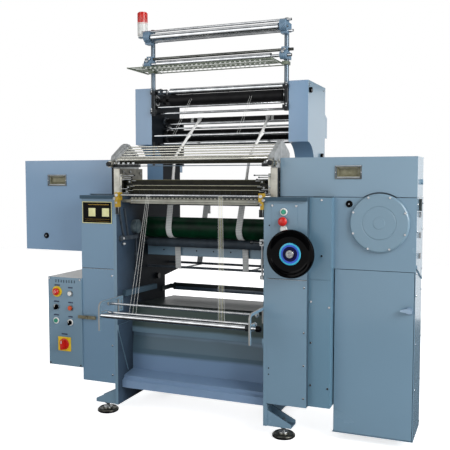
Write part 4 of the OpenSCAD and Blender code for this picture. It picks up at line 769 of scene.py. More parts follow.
def makePointers():
    y = controls["gripFront"]
    for name, (x, z) in controls["knobs"].items():
        bm = bmesh.new()
        addBox(bm, x - 1.4, x + 1.4, y - 0.5, y, z + 1, z + 10, 0, 0.15)  # white pointer line on the grip
        addBox(bm, x - 1.4, x + 1.4, y - 0.4, y + 9, z + 9.8, z + 11.4, 0)
        finishPiece("selector_pointer_" + name, bm, [whitePlastic], "selector_" + name)
    x, z = controls["mainSwitch"]
    y = controls["switchFront"]
    ring = [(0, 27), (1.6, 27), (2.6, 25.5), (2.6, 22)]
    bm = bmesh.new()
    addTurned(bm, (x, controls["switchRing"], z), front, ring, 1, 48)  # ring under the grip
    addBox(bm, x - 2, x + 2, y - 0.6, y, z + 6, z + 21, 0, 0.15)
    finishPiece("main_switch_grip_mark", bm, [whitePlastic, redPlastic], "main_switch")
    x, z = controls["estop"]
    y = controls["estopFront"]
    bm = bmesh.new()
    for k in range(3):  # plain raised bars on the mushroom's top
        u, v = math.cos(2 * math.pi * k / 3), math.sin(2 * math.pi * k / 3)
        ends = [(x + 5 * u - turn * v, y, z + 5 * v + turn * u) for turn in (3, -3)]
        addRod(bm, *ends, 2.2, 0, 8)
    finishPiece("estop_marks", bm, [whitePlastic], "estop_button")
    bm = bmesh.new()
    collar = [(0, 15), (3, 15), (3.6, 14), (3.6, 11)]
    addTurned(bm, (x, controls["estopCollar"], z), front, collar, 0, 40)  # steel collar below it
    finishPiece("estop_collar", bm, [zincSteel], "frame")


makeBezels()
makeColumnStop()
repaint("column_button_plate", "button_bezels", [zincSteel, blueEnamel], bezelFinish)
makeBoxLabels()
makePointers()
print("controls done")


# knitting head: needle bed with its comb, needles, guides and head hardware
head = {
    "bedHalf": 315.0, "bedY": (45.0, 70.0), "bedZ": (998.0, 1021.0), "toothPitch": 19.0, "toothSize": (8.0, 15.0, 5.5),
    "weftZ": (1099.5, 1074.0, 1054.0), "weftReach": 318, "guidePitch": 25.4, "guides": 24,
    "blockX": 372, "bracketX": 378, "shaft": (390, 1180),  # inner faces of the blocks and brackets, X and Z of the shaft
    "slideRods": [(60, 1128, 300), (66, 1119, 318), (57, 1110, 312), (64, 1046, 326), (58, 1066, 330)],  # Y, Z, inner end
    # bolts at both ends, as (y, z)
    "bracketBolts": [(60, 1170), (96, 1170), (150, 1190), (210, 1186)],
    "blockBolts": [(84, 1050), (84, 1146), (150, 1050), (150, 1146), (248, 1060), (248, 1140)],
    "eyeBolts": [(33, 1201), (54, 1213), (75, 1226), (96, 1238), (117, 1251), (138, 1263)],
    "clampBars": [(-398, -246), (344, 398)], "clampPitch": 26,
    # X, first and last Y, and Z of the bed's slide pins, the arm's screw, Y of the shaft's saddle caps, heights of the
    # slide blocks' screws, middle of the front bar's ends in X, and half the length of the dark stay
    "slidePin": (333, 69, 130, 1012), "armScrew": (362, -12, 1022), "saddleY": (70, 222),
    "slideScrews": (1050, 1078, 1126), "barEndX": 350, "stayHalf": 356,
}


def makeNeedleBed():
    # bed with a rounded front, in place of the frame's plain bar, ends and slide pins included
    w = head["bedHalf"]
    (y0, y1), (z0, z1) = head["bedY"], head["bedZ"]
    pinX, pinFront, pinBack, pinZ = head["slidePin"]
    bm = bmesh.new()
    outline = [(y0 + 8, z0), (y0 + 8, z0 + 8.5), (y0 + 1.5, z0 + 9), (y0, z0 + 11), (y0, z1 - 7), (y0 + 2, z1 - 3),
               (y0 + 6, z1), (y1, z1), (y1, z0)]
    addPlate(bm, outline, -w, w)
    for s in sides:
        addBox(bm, s * w, s * plateX, 49, 70, z0 + 5, z1 - 5, 0, 0.8)
        addRod(bm, (s * pinX, pinFront, pinZ), (s * pinX, pinBack, pinZ), 10, 0, 24)
        for x in (w - 12, w - 40):  # clamp screws
            addTurned(bm, (s * x, y0 + 1, z0 + 14), front, socketHead(4.2, 3, 0.6, 3.4, 2.2, 1.6), 1, 12)
    addBox(bm, -w + 2, w - 2, y0 + 13, y1 - 1, z1 - 0.5, z1 + 8, 2, 0.6)  # dark needle guard behind the comb
    addBox(bm, -w, w, y0 + 1, y1 - 2, z0 - 1.2, z0 + 0.4, 2)
    bed = finishPiece("needle_bed_bar", bm, [bedSteel, zincSteel, blackSteelAndPaintedShade], "frame", ["needle_bed"])
    cut = bed.modifiers.new("softEdges", "BEVEL")
    cut.width = 0.0007
    cut.segments = 2
    cut.limit_method = "ANGLE"
    cut.angle_limit = math.radians(40)

    def tooth(bm):  # sinker tooth standing on the bed's top edge
        wide, deep, high = head["toothSize"]
        addBox(bm, -wide / 2, wide / 2, 0.5, deep, -1.5, high, 0, 0.8, localPoint, 1)
    pitch = head["toothPitch"]
    count = int(2 * (w - 8) / pitch) + 1
    first = -(count - 1) * pitch / 2
    rowPiece("needle_bed_comb", tooth, (first, y0 + 1, z1), pitch, count, bedSteel, "frame")

    def needle(bm):  # latch needle: a thin blade with a hooked tip
        addBox(bm, -0.8, 0.8, -26, 2, -1.6, 0.4, place=localPoint)
        addBox(bm, -0.8, 0.8, -27.5, -26, -1.6, 2.6, place=localPoint)
    rowPiece("latch_needles", needle, (first + pitch / 2, 94, 1026), pitch, count - 1, chromePlate, "needle_bar")


def makeWeftBars():
    for number, z in enumerate(head["weftZ"]):
        body = f"weft_bar_{number + 1}"
        reach = head["weftReach"] + 8 * number
        bm = bmesh.new()
        addBox(bm, -316, 316, 75.0, 76.6, z + 7.0, z + 9.6, 3 if number else 0, 0.3)  # pale strip along the top edge, a painted highlight
        for s in sides:
            addBox(bm, s * reach, s * (reach + 20), 70, 88, z - 8, z + 8, 1, 1.0)  # clamp at the bar's end
            addTurned(bm, (s * (reach + 10), 70.5, z), front, socketHead(4.4, 3.2, 0.8, 3.6, 2.4, 2), 2, 16)
            addRod(bm, (s * (reach - 22), 73, z + 4), (s * (reach + 2), 73, z + 4), 4, 2, 12)
        finishPiece(body + "_ends", bm, [olivePaintedHighlight, blackSteelAndPaintedShade, zincSteel, ivoryPaintedHighlight], body)

    def guide(bm):  # guide tube of the last and lowest bar, which lays the weft before the needles
        addBox(bm, -0.9, 0.9, -2.5, -1.0, -10.5, 6.5, place=localPoint)
    rowPiece("weft_guides_3", guide, (-304, 76, z), head["guidePitch"], head["guides"], blackSteelAndPaintedShade, body)


def makeHeadHardware():
    # thin slide rods, clamps and screws at both ends of the head, on the frame
    block, bracket, (shaftX, shaftZ) = head["blockX"], head["bracketX"], head["shaft"]
    bm = bmesh.new()
    for s in sides:
        inward = (-s, 0, 0)
        for y, z, reach in head["slideRods"]:
            addRod(bm, (s * reach, y, z), (s * (block + 1), y, z), 5, 1, 12)
            addTurned(bm, (s * reach, y, z), inward, [(0, 3.4), (6, 3.4), (7, 2.4)], 2, 6)
        addBox(bm, s * block, s * (block - 11), 52.5, 69.4, 1040, 1136, 0, 1.2)  # slide block
        for z in head["slideScrews"]:
            addTurned(bm, (s * (block - 5.5), 52.5, z), front, socketHead(4.6, 3.6, 0.8, 3.8, 2.6, 2), 1, 16)
        for y in head["saddleY"]:  # saddle caps over the top shaft
            addBox(bm, s * (shaftX - 14), s * (shaftX + 14), y + 1, y + 23, shaftZ, shaftZ + 15, 0, 2.0)
            for x in (shaftX - 10, shaftX + 10):
                addTurned(bm, (s * x, y + 12, 1194), up, socketHead(4, 4, 1, 3.2, 2, 2.4), 1, 12)
        for y, z in head["bracketBolts"]:
            addTurned(bm, (s * bracket, y, z), inward, socketHead(5.4, 3.6, 1, 4.4, 2.8, 2.2), 1, 16)
        for y, z in head["blockBolts"]:
            addTurned(bm, (s * block, y, z), inward, socketHead(6, 4, 1, 5, 3.2, 2.4), 1, 16)
        nut = [(0, 12), (9, 12), (10.5, 10.5), (10.5, 5), (12.5, 4.4)]
        addTurned(bm, (s * shaftX, -10, shaftZ), front, nut, 2, 6)  # nut on the shaft's end
        x, y, z = head["armScrew"]
        addTurned(bm, (s * x, y, z), front, socketHead(7, 4, 1, 5.8, 3.6, 2.6, -2), 1, 16)
    finishPiece("head_hardware", bm, [millSteel, zincSteel, blackSteelAndPaintedShade], "frame")


def makeRackClamps():
    bracket, end, w = head["bracketX"], head["barEndX"], head["stayHalf"]
    bm = bmesh.new()
    for s in sides:  # eye bolts and lock nuts where the rack is clamped, dark against the chrome
        for y, z in head["eyeBolts"]:
            addTurned(bm, (s * (bracket + 0.2), y, z), (-s, 0, 0), [(0, 8.5), (5, 8.5), (6, 7.6), (6, 5)], 0, 20)
        addBox(bm, s * (end - 9), s * (end + 9), -10, 4, 950, 983, 1, 1.0)  # black clamp below the bar's bracket
        addTurned(bm, (s * end, -14, 1003), front, socketHead(5, 3.6, 0.8, 4, 2.6, 2), 0, 16)
        addTurned(bm, (s * end, -14, 1038), front, [(0, 7.6), (2, 7.6), (3, 6.8), (3, 4)], 0, 20)
    addBox(bm, -w, w, 30, 44, 1180, 1197, 2, 1.2)  # dark stay under the rack's front rod
    addRod(bm, (-w, 26, 1171), (w, 26, 1171), 4, 3, 12)
    pitch = head["clampPitch"]
    for x0, x1 in head["clampBars"]:
        addBox(bm, x0, x1, 14, 29, 1165, 1180, 1, 1.0)
        for k in range((x1 - x0) // pitch):
            addTurned(bm, (x0 + 14 + pitch * k, 21, 1180), up, socketHead(6.4, 7, 1, 5.4, 3.4, 5, -0.5), 0, 16)
    finishPiece("rack_clamps", bm, [zincSteel, blackSteelAndPaintedShade, bronzeBar, postSteel], "frame")


rack = {
    "first": (0, 33, 1201), "step": (21.0, 12.4), "rods": 5,  # first rod, and the step to the next in Y and Z
    "radii": (4.4, 5.3), "slimmer": 0.64, "cheek": 369.5,  # radii between which a point is on a rod's skin
}


def makeRack():
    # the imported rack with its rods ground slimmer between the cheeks, so that the gaps show from the front
    bm = mergedCopy("guide_rack")
    least, most = rack["radii"]
    x, y, z = rack["first"]
    for v in bm.verts:
        for k in range(1, rack["rods"] + 1):
            middle = at(x, y + rack["step"][0] * k, z + rack["step"][1] * k)
            off = Vector((0, v.co.y - middle.y, v.co.z - middle.z))
            if least < off.length * 1000 < most:
                v.co -= off * (1 - rack["slimmer"])
    for f in bm.faces:
        f.material_index = int(abs(f.calc_center_median().x - shiftX) > rack["cheek"] / 1000)
    finishPiece("guide_rack_slim", bm, [rackSteel, castSilver], "frame", ["guide_rack"])


def headFinish(x, y, z, n):
    # back plate dark, blocks milled, cast brackets painted grey, shafts ground
    # painted shadow: the blocks' outer faces are black for the gap beside them; the back plate is dark as well
    if (abs(x) < 372.5 and 91 < y < 97) or (abs(x) > 402.5 and abs(n.x) > 0.5 and z < 1162):
        return 1
    # painted shade: the left block's inner face in a darker milled steel
    if n.x > 0.5 and -373 < x < -371 and z < 1162:
        return 3
    shaftX, shaftZ = head["shaft"]
    onShaft = abs(abs(x) - shaftX) < 15.5 and abs(z - shaftZ) < 15.5 and not 44 < y < 246
    return 2 if z > 1161 and abs(x) > 377 and not onShaft else 0


makeNeedleBed()
makeWeftBars()
makeHeadHardware()
makeRackClamps()
makeRack()
repaint("head_block_pair", "head_blocks", [millSteel, blackSteelAndPaintedShade, castSilver, shadedMillSteel], headFinish)
print("knitting head done")


# tower: gears, guards, end rings, knobs and lane marks
tower = {
    "gearX": (-353.0, -341.0), "toothHeight": 4.5,
    "rollers": {"top": (380, 1506), "mid": (500, 1409), "low": (520, 1335)},
    "gears": {"top": (28, 22), "mid": (20, 16), "low": (52, 40)},  # outer radius and number of teeth
    "flanges": {"top": 22, "mid": 17, "low": 24}, "collars": (-300, 330),
    "pressBlocks": [(-332, -308), (334, 352)], "pressBlock": (358, 394, 1532, 1562),  # in X, and in Y and Z
    "knobs": [(373, 1523), (597, 1225)], "coverScrews": [(372, 1070), (640, 1070), (372, 1548), (640, 1548)],
    "lipScrews": (440, (1080, 1540)), "laneMarks": (-196, 236), "sheetX": 452.8, "sheetY": 672.8, "knobX": 465,
    "channelLip": [(356, 1180), (356, 1300), (372, 1300), (372, 1180)], "channel": (-330, 640, 664, 1180, 1420),
}
coverScrew = [(0, 5.2), (2, 4.8), (3, 3.2), (3.2, 1.2), (2.2, 1.0)]


def gearOutline(y, z, radius, teeth):
    points = []
    for k in range(teeth * 4):
        a = 2 * math.pi * k / (teeth * 4)
        r = radius if k % 4 in (0, 1) else radius - tower["toothHeight"]
        points.append((y + r * math.cos(a), z + r * math.sin(a)))
    return points


def makeTowerGears():
    x0, x1 = tower["gearX"]
    for name, (y, z) in tower["rollers"].items():
        radius, teeth = tower["gears"][name]
        web = radius * 0.72
        bm = bmesh.new()
        addPlate(bm, gearOutline(y, z, radius, teeth), x0, x1)
        addTurned(bm, (x1, y, z), (1, 0, 0), [(-0.5, web), (0.6, web), (0.6, 13), (9, 13), (9.8, 12), (9.8, 6)], 1)
        addRod(bm, (x1 + 5, y, z + 10), (x1 + 5, y, z + 15), 5, 2, 10)
        if name == "top":  # collars at both ends of the upper roller
            for x in tower["collars"]:
                addTurned(bm, (x, y, z), (1, 0, 0), [(0, 10), (0, 20), (1, 21), (8, 21), (9, 20), (9, 10)], 2)
        right = 346 if name == "top" else 352
        addTurned(bm, (right, y, z), (1, 0, 0), [(0, 8), (0, 15), (0.8, 16), (7, 16), (7.6, 15), (7.6, 8)], 2)
        finishPiece("tower_gear_" + name, bm, [zincSteel, blackSteelAndPaintedShade, groundSteel], "feed_roller_" + name)


def makeTowerGuards():
    bm = bmesh.new()
    wall = -plateX + 0.3
    addPlate(bm, tower["channelLip"], wall, wall + 5.7)
    addBox(bm, wall, *tower["channel"], 0, 1.5)  # cable channel at the back corner
    for s in sides:
        for name, (y, z) in tower["rollers"].items():  # bearing flanges, each with three screws
            r = tower["flanges"][name]
            flange = [(0, r + 8), (4, r + 8), (5, r + 7), (5, r - 2), (4, r - 2)]
            addTurned(bm, (s * (plateX - 0.2), y, z), (-s, 0, 0), flange, 1, 36)
            for k in range(3):
                a = 2 * math.pi * k / 3 + 0.5
                place = (s * (plateX - 5.2), y + (r + 3) * math.cos(a), z + (r + 3) * math.sin(a))
                addTurned(bm, place, (-s, 0, 0), [(0, 3.2), (2, 3.2), (2.6, 2.6), (2.6, 1.6)], 2, 10)
    for low, high in tower["pressBlocks"]:  # bearing blocks of the press roller with their spring screws
        middle = (low + high) / 2
        y0, y1, z0, z1 = tower["pressBlock"]
        addBox(bm, low, high, y0, y1, z0, z1, 1, 2.0)
        addTurned(bm, (middle, y0 + 17, z1 - 1), up, [(0, 8), (3, 8), (4, 4.4), (5, 4.4)], 2, 20)
        addTurned(bm, (middle, y0 + 0.5, z0 + 16), front, [(0, 5), (3.6, 5), (4.4, 4), (4.4, 2.4)], 2, 12)
    finishPiece("tower_guards", bm, [blackSteelAndPaintedShade, castIron, zincSteel], "frame")


def makeTowerKnobs():
    face = tower["knobX"]
    bm = bmesh.new()
    for y, z in tower["knobs"]:  # black thumb knobs on the right tower's outer face
        addTurned(bm, (face - 0.6, y, z), (1, 0, 0), [(-3, 12.8), (-2, 13.4), (0.5, 12.6), (0.7, 9)], 0, 36)
        addTurned(bm, (face, y, z), (1, 0, 0), [(-0.5, 4.5), (0.6, 4.2), (0.6, 2)], 1, 16)
    for y, z in tower["coverScrews"]:
        for s in (1, -1):
            addTurned(bm, (s * tower["sheetX"], y, z), (s, 0, 0), coverScrew, 1, 16)
    x, heights = tower["lipScrews"]
    for s in sides:  # sheet lip screws on the back
        for z in heights:
            addTurned(bm, (s * x, tower["sheetY"], z), back, coverScrew, 1, 16)
    finishPiece("tower_knobs", bm, [blackPhenolic, zincSteel], "frame")


def makeLaneMarks():
    y, z = tower["rollers"]["mid"]
    bm = bmesh.new()
    for x in tower["laneMarks"]:  # white tape wound on the middle roller to mark the tape's lane
        addTurned(bm, (x - 7, y, z), (1, 0, 0), band(16.8, 17.7, 14), 0, 40)
    finishPiece("lane_marks", bm, [whitePlastic], "feed_roller_mid")


def towerFinish(x, y, z, n):
    # the bearing side and the back box's inner wall are dark as painted shade, the sheet cover is enamelled
    bearingSide = abs(x) < 361.5 and n.x * (1 if x < 0 else -1) > 0.5
    backWall = abs(x) < 366 and abs(n.y) > 0.9 and y > 660
    return 1 if bearingSide or backWall else 0


def rightTowerFinish(x, y, z, n):
    # as the left one, with black knobs and handle, and its outer side in a greyer blue as painted light
    knob = x > 453.2 and y < 660 and (n.x > 0.5 or x > 453.5)
    handle = y > 673.5 and x < 445 and abs(z - 1308) < 11
    return 2 if knob or handle else 3 if n.x > 0.7 and x > 440 else towerFinish(x, y, z, n)


makeTowerGears()
makeTowerGuards()
makeTowerKnobs()
makeLaneMarks()
repaint("tower_left_cover", "tower_left", [hoodEnamel, shadeEnamel], towerFinish)
repaint("tower_right_cover", "tower_right", [hoodEnamel, shadeEnamel, blackPhenolic, greyBlueEnamel], rightTowerFinish)

# mast: posts, bars, thread grid with eyelets and the signal lamp
mast = {
    "post": (349.0, 350.0), "postTop": 1849,
    "clampScrews": [(1796, 330), (1822, 330), (1690, 322), (1706, 350)],  # Z and Y
    "bracketScrews": (1452, 1462, 1548, 1558), "bracketScrewAt": (352, 337),  # heights, and X and Y
    "eyeletX": -304, "eyeletZ": 1641.4, "eyeletRows": (195, 265, 325), "eyeletPitch": 24.0, "eyelets": 25,
    "lamp": (-408, 350), "lensRibs": (9, 1895, 5.2),  # number of ribs, height of the first, pitch
    # bands of the lamp: height, inner and outer radius, length, segments
    "lampBands": [(1838, 24.6, 25.5, 49, 48), (1889, 24.8, 26.2, 3, 40), (1832, 24.8, 26, 2, 40)],
}


def mastFinish(x, y, z, n):
    # posts and all that stands inside the towers are tube grey, the grid is green wire, the upper bar dark
    px, py = mast["post"]
    if z < 1560 or (z < 1852 and math.hypot(abs(x) - px, y - py) < 11.6):
        return 1
    return 2 if 1638 < z < 1656 else 3 if 1697 < z < 1730 else 0


def eyelet(bm, radius=3.4, thickness=1.3, segments=10, around=6):
    # porcelain thread eye: a small ring standing across Y
    rings = []
    for k in range(segments):
        a = 2 * math.pi * k / segments
        out = Vector((math.cos(a), 0, math.sin(a)))
        ring = []
        for j in range(around):
            b = 2 * math.pi * j / around
            point = out * (radius + thickness * math.cos(b)) + Vector((0, thickness * math.sin(b), 0))
            ring.append(bm.verts.new(point / 1000))
        rings.append(ring)
    for here, there in zip(rings, rings[1:] + rings[:1]):
        for j in range(around):
            bm.faces.new((here[j], here[(j + 1) % around], there[(j + 1) % around], there[j]))


def makeMastDetails():
    bm = bmesh.new()
    px, py = mast["post"]
    bx, by = mast["bracketScrewAt"]
    clampScrew = [(-30, 4.5), (0, 4.5), (0, 6.5), (6, 6.5), (7, 5.4), (7, 3.4), (3.6, 3.2)]
    for s in sides:
        addTurned(bm, (s * px, py, mast["postTop"]), up, [(0, 10.9), (3, 10.9), (5, 9), (5, 0)], 0, 28)  # end cap
        for z, y in mast["clampScrews"]:  # their heads toward the front
            addTurned(bm, (s * px + 1, y - 40, z), front, clampScrew, 1, 16)
        for z in mast["bracketScrews"]:  # post brackets on the tower
            addTurned(bm, (s * bx, by, z), front, [(0, 3.6), (3, 3.6), (3.6, 3), (3.6, 1.8)], 1, 12)
    finishPiece("mast_details", bm, [blackPhenolic, zincSteel], "frame")
    for row, y in enumerate(mast["eyeletRows"]):
        rowPiece(f"thread_eyelets_{row + 1}", eyelet, (mast["eyeletX"], y, mast["eyeletZ"]), mast["eyeletPitch"],
                 mast["eyelets"], whitePlastic, "frame")


def makeLampRibs():
    x, y = mast["lamp"]
    count, low, pitch = mast["lensRibs"]
    bm = bmesh.new()
    for k in range(count):  # ribbed lens
        addTurned(bm, (x, y, low + pitch * k), up, [(0, 24.8), (1, 25.9), (3, 25.9), (4, 24.8)], 0, 40)
    for z, inner, outer, length, segments in mast["lampBands"]:  # white lower sleeve and its beads
        addTurned(bm, (x, y, z), up, band(inner, outer, length), 1, segments)
    finishPiece("signal_lamp_ribs", bm, [glassRed, whitePlastic], "frame")


repaint("mast_frame", "mast", [chromePlate, postTube, meshWire, darkBar], mastFinish)
makeMastDetails()
repaint("signal_lamp_body", "signal_lamp", [whitePlastic, glassRed, postSteel],
        lambda x, y, z, n: 1 if z > 1891.5 else 2 if z < 1822.5 or x > -380 else 0)
makeLampRibs()
print("tower and mast done")


# frame, cabinets and covers: finishes by region
def rodFinish(x, y, z, n):
    if x < -470:
        return 4
    if x > 330 and y < 25 and z < 860:
        return 1
    if x < -343.5 and y > 370 and 598 < z < 630:
        return 2
    return 3 if (x < -339.5 and y < 190 and 600 < z < 985) or (250 < y < 600 and z < 690) else 0


def cabinetFinish(x, y, z, n):
    # lid dark, hinges on the outer side bright, door seal black
    if z > 1036.2:
        return 1
    if x > 978.2 and z > 770:
        return 3 if z > 980 and y < 159 else 2
    return 4 if y < 77.8 else 0


def footFinish(x, y, z, n):
    if z > 24.2 or math.hypot(abs(x) - 440.8, y - 40) < 22:
        return 2
    return 1 if 8 < z < 24 and n.z > 0.3 else 0


# painted shade on the plate's inner face, apart from a worn casting at its upper back
repaint("left_plate_painted", "side_plate_left", [blueEnamel, shadeEnamel, wornCasting],
        lambda x, y, z, n: 2 if -plateX + 0.2 < x < -330 and y > 120 and z > 845 else
        0 if x < -plateX - 0.4 or n.x < 0.5 else 1)
# painted shade on the plate's inner face and on the top of its foot bracket
repaint("right_plate_painted", "side_plate_right", [blueEnamel, shadeEnamel, shadowEnamel],
        lambda x, y, z, n: 2 if x > 377 and z < 160 and n.z > 0.3 else 0 if x > plateX + 0.4 or n.x > -0.5 else 1)
# painted shade: the beam's upper part in darker slate enamel
repaint("beam_painted", "cross_beam", [blueEnamel, slateEnamel], lambda x, y, z, n: z >= 781.5)
# painted shade: a dark band under the column's top plate
repaint("column_left_painted", "column_left", [leftEnamel, shadowEnamel], lambda x, y, z, n: y < 0.2 and z > 1019.8)
# painted shade: the column's side toward the cabinet and the band under its top plate
repaint("column_right_painted", "column_right", [blueEnamel, shadowEnamel],
        lambda x, y, z, n: (n.x > 0.9 and x > 549) or (y < 0.2 and z > 1019.8))
repaint("tray_roller_painted", "tray_roller", [chromePlate, blackPhenolic, blackSteelAndPaintedShade],
        lambda x, y, z, n: 1 if x > 381.9 else 2 if 335 < x < 351.5 and math.hypot(y + 150, z - 505) > 11.5 else 0,
        "tray_roller")
# painted highlight: the brackets' edges in pale grey
repaint("tray_brackets_painted", "tray_brackets", [blueEnamel, paintedLightEnamel],
        lambda x, y, z, n: abs(n.x) < 0.5 and n.y < 0.6)
# painted light: the box's top face in pale grey
repaint("control_box_painted", "control_box", [blueEnamel, paintedLightEnamel], lambda x, y, z, n: n.z > 0.9 and z > 630)
# painted shade: the table's arms at both ends in shadowed enamel
repaint("table_painted", "fabric_table", [darkSheet, shadowEnamel], lambda x, y, z, n: abs(x) > 341 and y < 364)
repaint("brackets_painted", "bar_brackets", [yellowZinc], lambda x, y, z, n: 0)
repaint("feet_painted", "levelling_feet", [blackRubberAndPaintedShade, footSteel, zincSteel], footFinish)
repaint("rods_painted", "guide_rods", [chromePlate, zincSteel, blackSteelAndPaintedShade, castIron, catchSteel], rodFinish)
repaint("right_cabinet_painted", "right_cabinet", [blueEnamel, slateEnamel, zincSteel, darkSheet, blackPhenolic],
        cabinetFinish)

# flush pulls, locks and the round cover
covers = {
    "pulls": {"left": (-816, 104, 1077), "right": (644, 83, 1112)}, "pullSize": (112, 56), "rim": 6.5, "recess": 15.5,
    "locks": {"hood_lock_left": ((-830, 104, 828), "left_hood"), "cabinet_lock_right": ((706, 78, 1009), "frame")},
    "lockR": 12.0, "roundMiddle": (831, 78, 932), "roundR": 121.0,
}


def makePull(name, place, body):
    wide, high = covers["pullSize"]
    x, y, z = place
    x1, z1 = x + wide, z + high
    f, g = covers["rim"], covers["recess"]
    bm = bmesh.new()
    for x0, xx, z0, zz in ((x, x1, z1 - f, z1), (x, x1, z, z + f),
                           (x, x + f, z + f, z1 - f), (x1 - f, x1, z + f, z1 - f)):
        addBox(bm, x0, xx, y - 3.4, y - 1.0, z0, zz, 0, 0.9)  # pressed rim
    addBox(bm, x + f, x1 - f, y + 11, y + 12, z + f, z1 - f, 1)  # recess floor
    addPlate(bm, [(y + 1, z + f), (y + 11, z + f), (y + 11, z + g + 3)], x + g, x1 - g, 1)  # sloping lower lip
    addBox(bm, x + f + 2, x1 - f - 2, y - 2.4, y - 0.8, z + f, z + f + 3, 2, 0.4)  # its bright edge, a painted highlight
    for x0, xx in ((x + f, x + g), (x1 - g, x1 - f)):
        addBox(bm, x0, xx, y + 2, y + 11, z + f, z1 - f, 1, 0.8)
    addBox(bm, x + g, x1 - g, y - 1.5, y + 1.5, z1 - f - 7, z1 - f, 1, 1.4)  # finger edge
    addBox(bm, x + 2, x1 - 2, y - 3.9, y - 3.3, z1 - 3.2, z1 - 0.8, 2, 0.2)  # painted highlight along the rim's upper edge
    for sx in (x + 3.2, x1 - 3.2):  # pins
        addTurned(bm, (sx, y - 3.3, z + high / 2), front, [(0, 2.2), (0.8, 2.0), (1.2, 1.2)], 2, 12)
    finishPiece(name, bm, [pullSteel, pullShade, edgeSteelAndPaintedHighlight], body)


def makeLock(name, place, body):
    x, y, z = place
    r = covers["lockR"]
    barrel = [(0, r + 2.5), (1.6, r + 2.5), (2.6, r + 1.4), (4.6, r + 0.6), (5.6, r - 0.6), (5.6, r - 4), (4.4, r - 5),
              (4.4, 4)]
    bm = bmesh.new()
    addTurned(bm, (x, y + 0.2, z), front, barrel, 0, 40)
    addTurned(bm, (x, y - 3.6, z), front, [(0, 4.6), (2.4, 4.6), (2.9, 4.0)], 1, 4)  # square key
    addBox(bm, x - 4.4, x + 4.4, y - 6.9, y - 6.3, z - 0.6, z + 0.6)  # slot of the key
    finishPiece(name, bm, [blackPhenolic, zincSteel], body)


def makeRoundCover():
    # machined disc: bevelled edge, a shallow concentric groove and a raised centre
    r = covers["roundR"]
    outline = [(0, r), (8.5, r), (11.5, r - 2), (13.6, r - 5.4), (14, r - 6.5), (14, r - 8), (14, 70), (13, 69),
               (13, 66.5), (14, 65.5), (14, 24), (14.8, 23.5), (14.8, 0)]
    bm = bmesh.new()
    addTurned(bm, covers["roundMiddle"], front, outline, 0, 128)
    finishPiece("round_cover_disc", bm, [discEnamel], "frame", ["round_cover"])


for side, place in covers["pulls"].items():
    makePull("hood_pull_" + side, place, side + "_hood")
for name, (place, body) in covers["locks"].items():
    makeLock(name, place, body)
makeRoundCover()

# screws in rows and pressed louvres, as Geometry Nodes
panels = {
    # screws by face: (direction, X of each row, Y of each row, heights)
    "screws": [(front, (-388, 538), (-0.2,), (190, 330, 470, 660)),  # edges of the two columns
               ((1, 0, 0), (978.2,), (100, 286), (60, 250, 440, 640, 730, 900, 1010)),  # cabinet's outer side
               (back, (680, 811, 942), (300.2,), (70, 380, 700, 1000)),
               (back, (-900, -740, -580), (326.3,), (800, 1000, 1130)),
               (back, (-730, -647, -564), (343.2,), (222, 628))],
    "screwHead": [(0, 4.4), (1.2, 4.4), (2.4, 3.6), (3.0, 2.2), (3.0, 1.0), (2.0, 0.8), (2.0, 0.0)],
    "louvres": [(-760, 326.6, 850), (811, 300.4, 860), (811, 300.4, 160)], "rows": 9, "rowPitch": 16,
    "louvreHalf": 75.0, "louvreShape": [(-6, 0.0), (-5.2, 5.0), (-2.0, 5.6), (3.5, 3.0), (6, 0.0)],
}


def louvre(bm):
    # pressed vent louvre: a raised hood whose ends run down to the sheet
    w = panels["louvreHalf"]
    ribs = [[bm.verts.new(localPoint(x, a, 0 if abs(x) == w else b)) for a, b in panels["louvreShape"]]
            for x in (-w, -w + 5, w - 5, w)]
    for p, q in zip(ribs, ribs[1:]):
        for j in range(len(p) - 1):
            bm.faces.new((p[j], q[j], q[j + 1], p[j + 1]))


def makePanelScrews():
    heads = [((x, y, z), way) for way, xs, ys, zs in panels["screws"] for z in zs for x in xs for y in ys]
    repeatPiece("panel_screw_heads", sourceTurned(panels["screwHead"], 14), chromePlate, "frame", heads)


def makeLouvres():
    hoods = [((x, y, z + panels["rowPitch"] * k), back) for k in range(panels["rows"]) for x, y, z in panels["louvres"]]
    repeatPiece("back_louvres", louvre, blueEnamel, "frame", hoods)


makePanelScrews()

# small things on the frame: drilled holes as dark discs of painted shade, tray details, door furniture and seals, and
# dark strips of painted shade in gaps
small = {
    "holes": [(385, 917), (384, 305), (384, 278)], "beamHoles": [k * 90 for k in range(-3, 4)],
    "trayNuts": [(-75, 546), (-100, 510)], "leverPins": (834.7, 808.5), "rosette": (955, 78.1, 580),
    "seams": [(-551, -378.5), (378.5, 549)], "seamZ": 692, "beamHoleAt": (300.6, 760), "leverPinAt": (-346, 46),
    # boxes by their limits in X, Y and Z: the door's seal, the shadow gap beside the head, the rear bar's painted half
    "doorSeal": (648.6, 651.4, 90, 97, 60, 730), "headGap": (404, 406, 100, 240, 1040, 1150),
    "angleBar": (-333, 333, 551.2, 552, 518, 536),
    "gapStrips": [(646, 976, 84, 96, 1036.4, 1037.6),  # dark strip as painted shade in the cabinet's upper seam
              (552, 643, 84, 90, 1000, 1037.6),  # dark strip as painted shade in the gap behind the middle panel
              (-446.5, -404, 104, 112, 1040, 1200, 0, 1.0)],  # rounded strip beside the left block
}


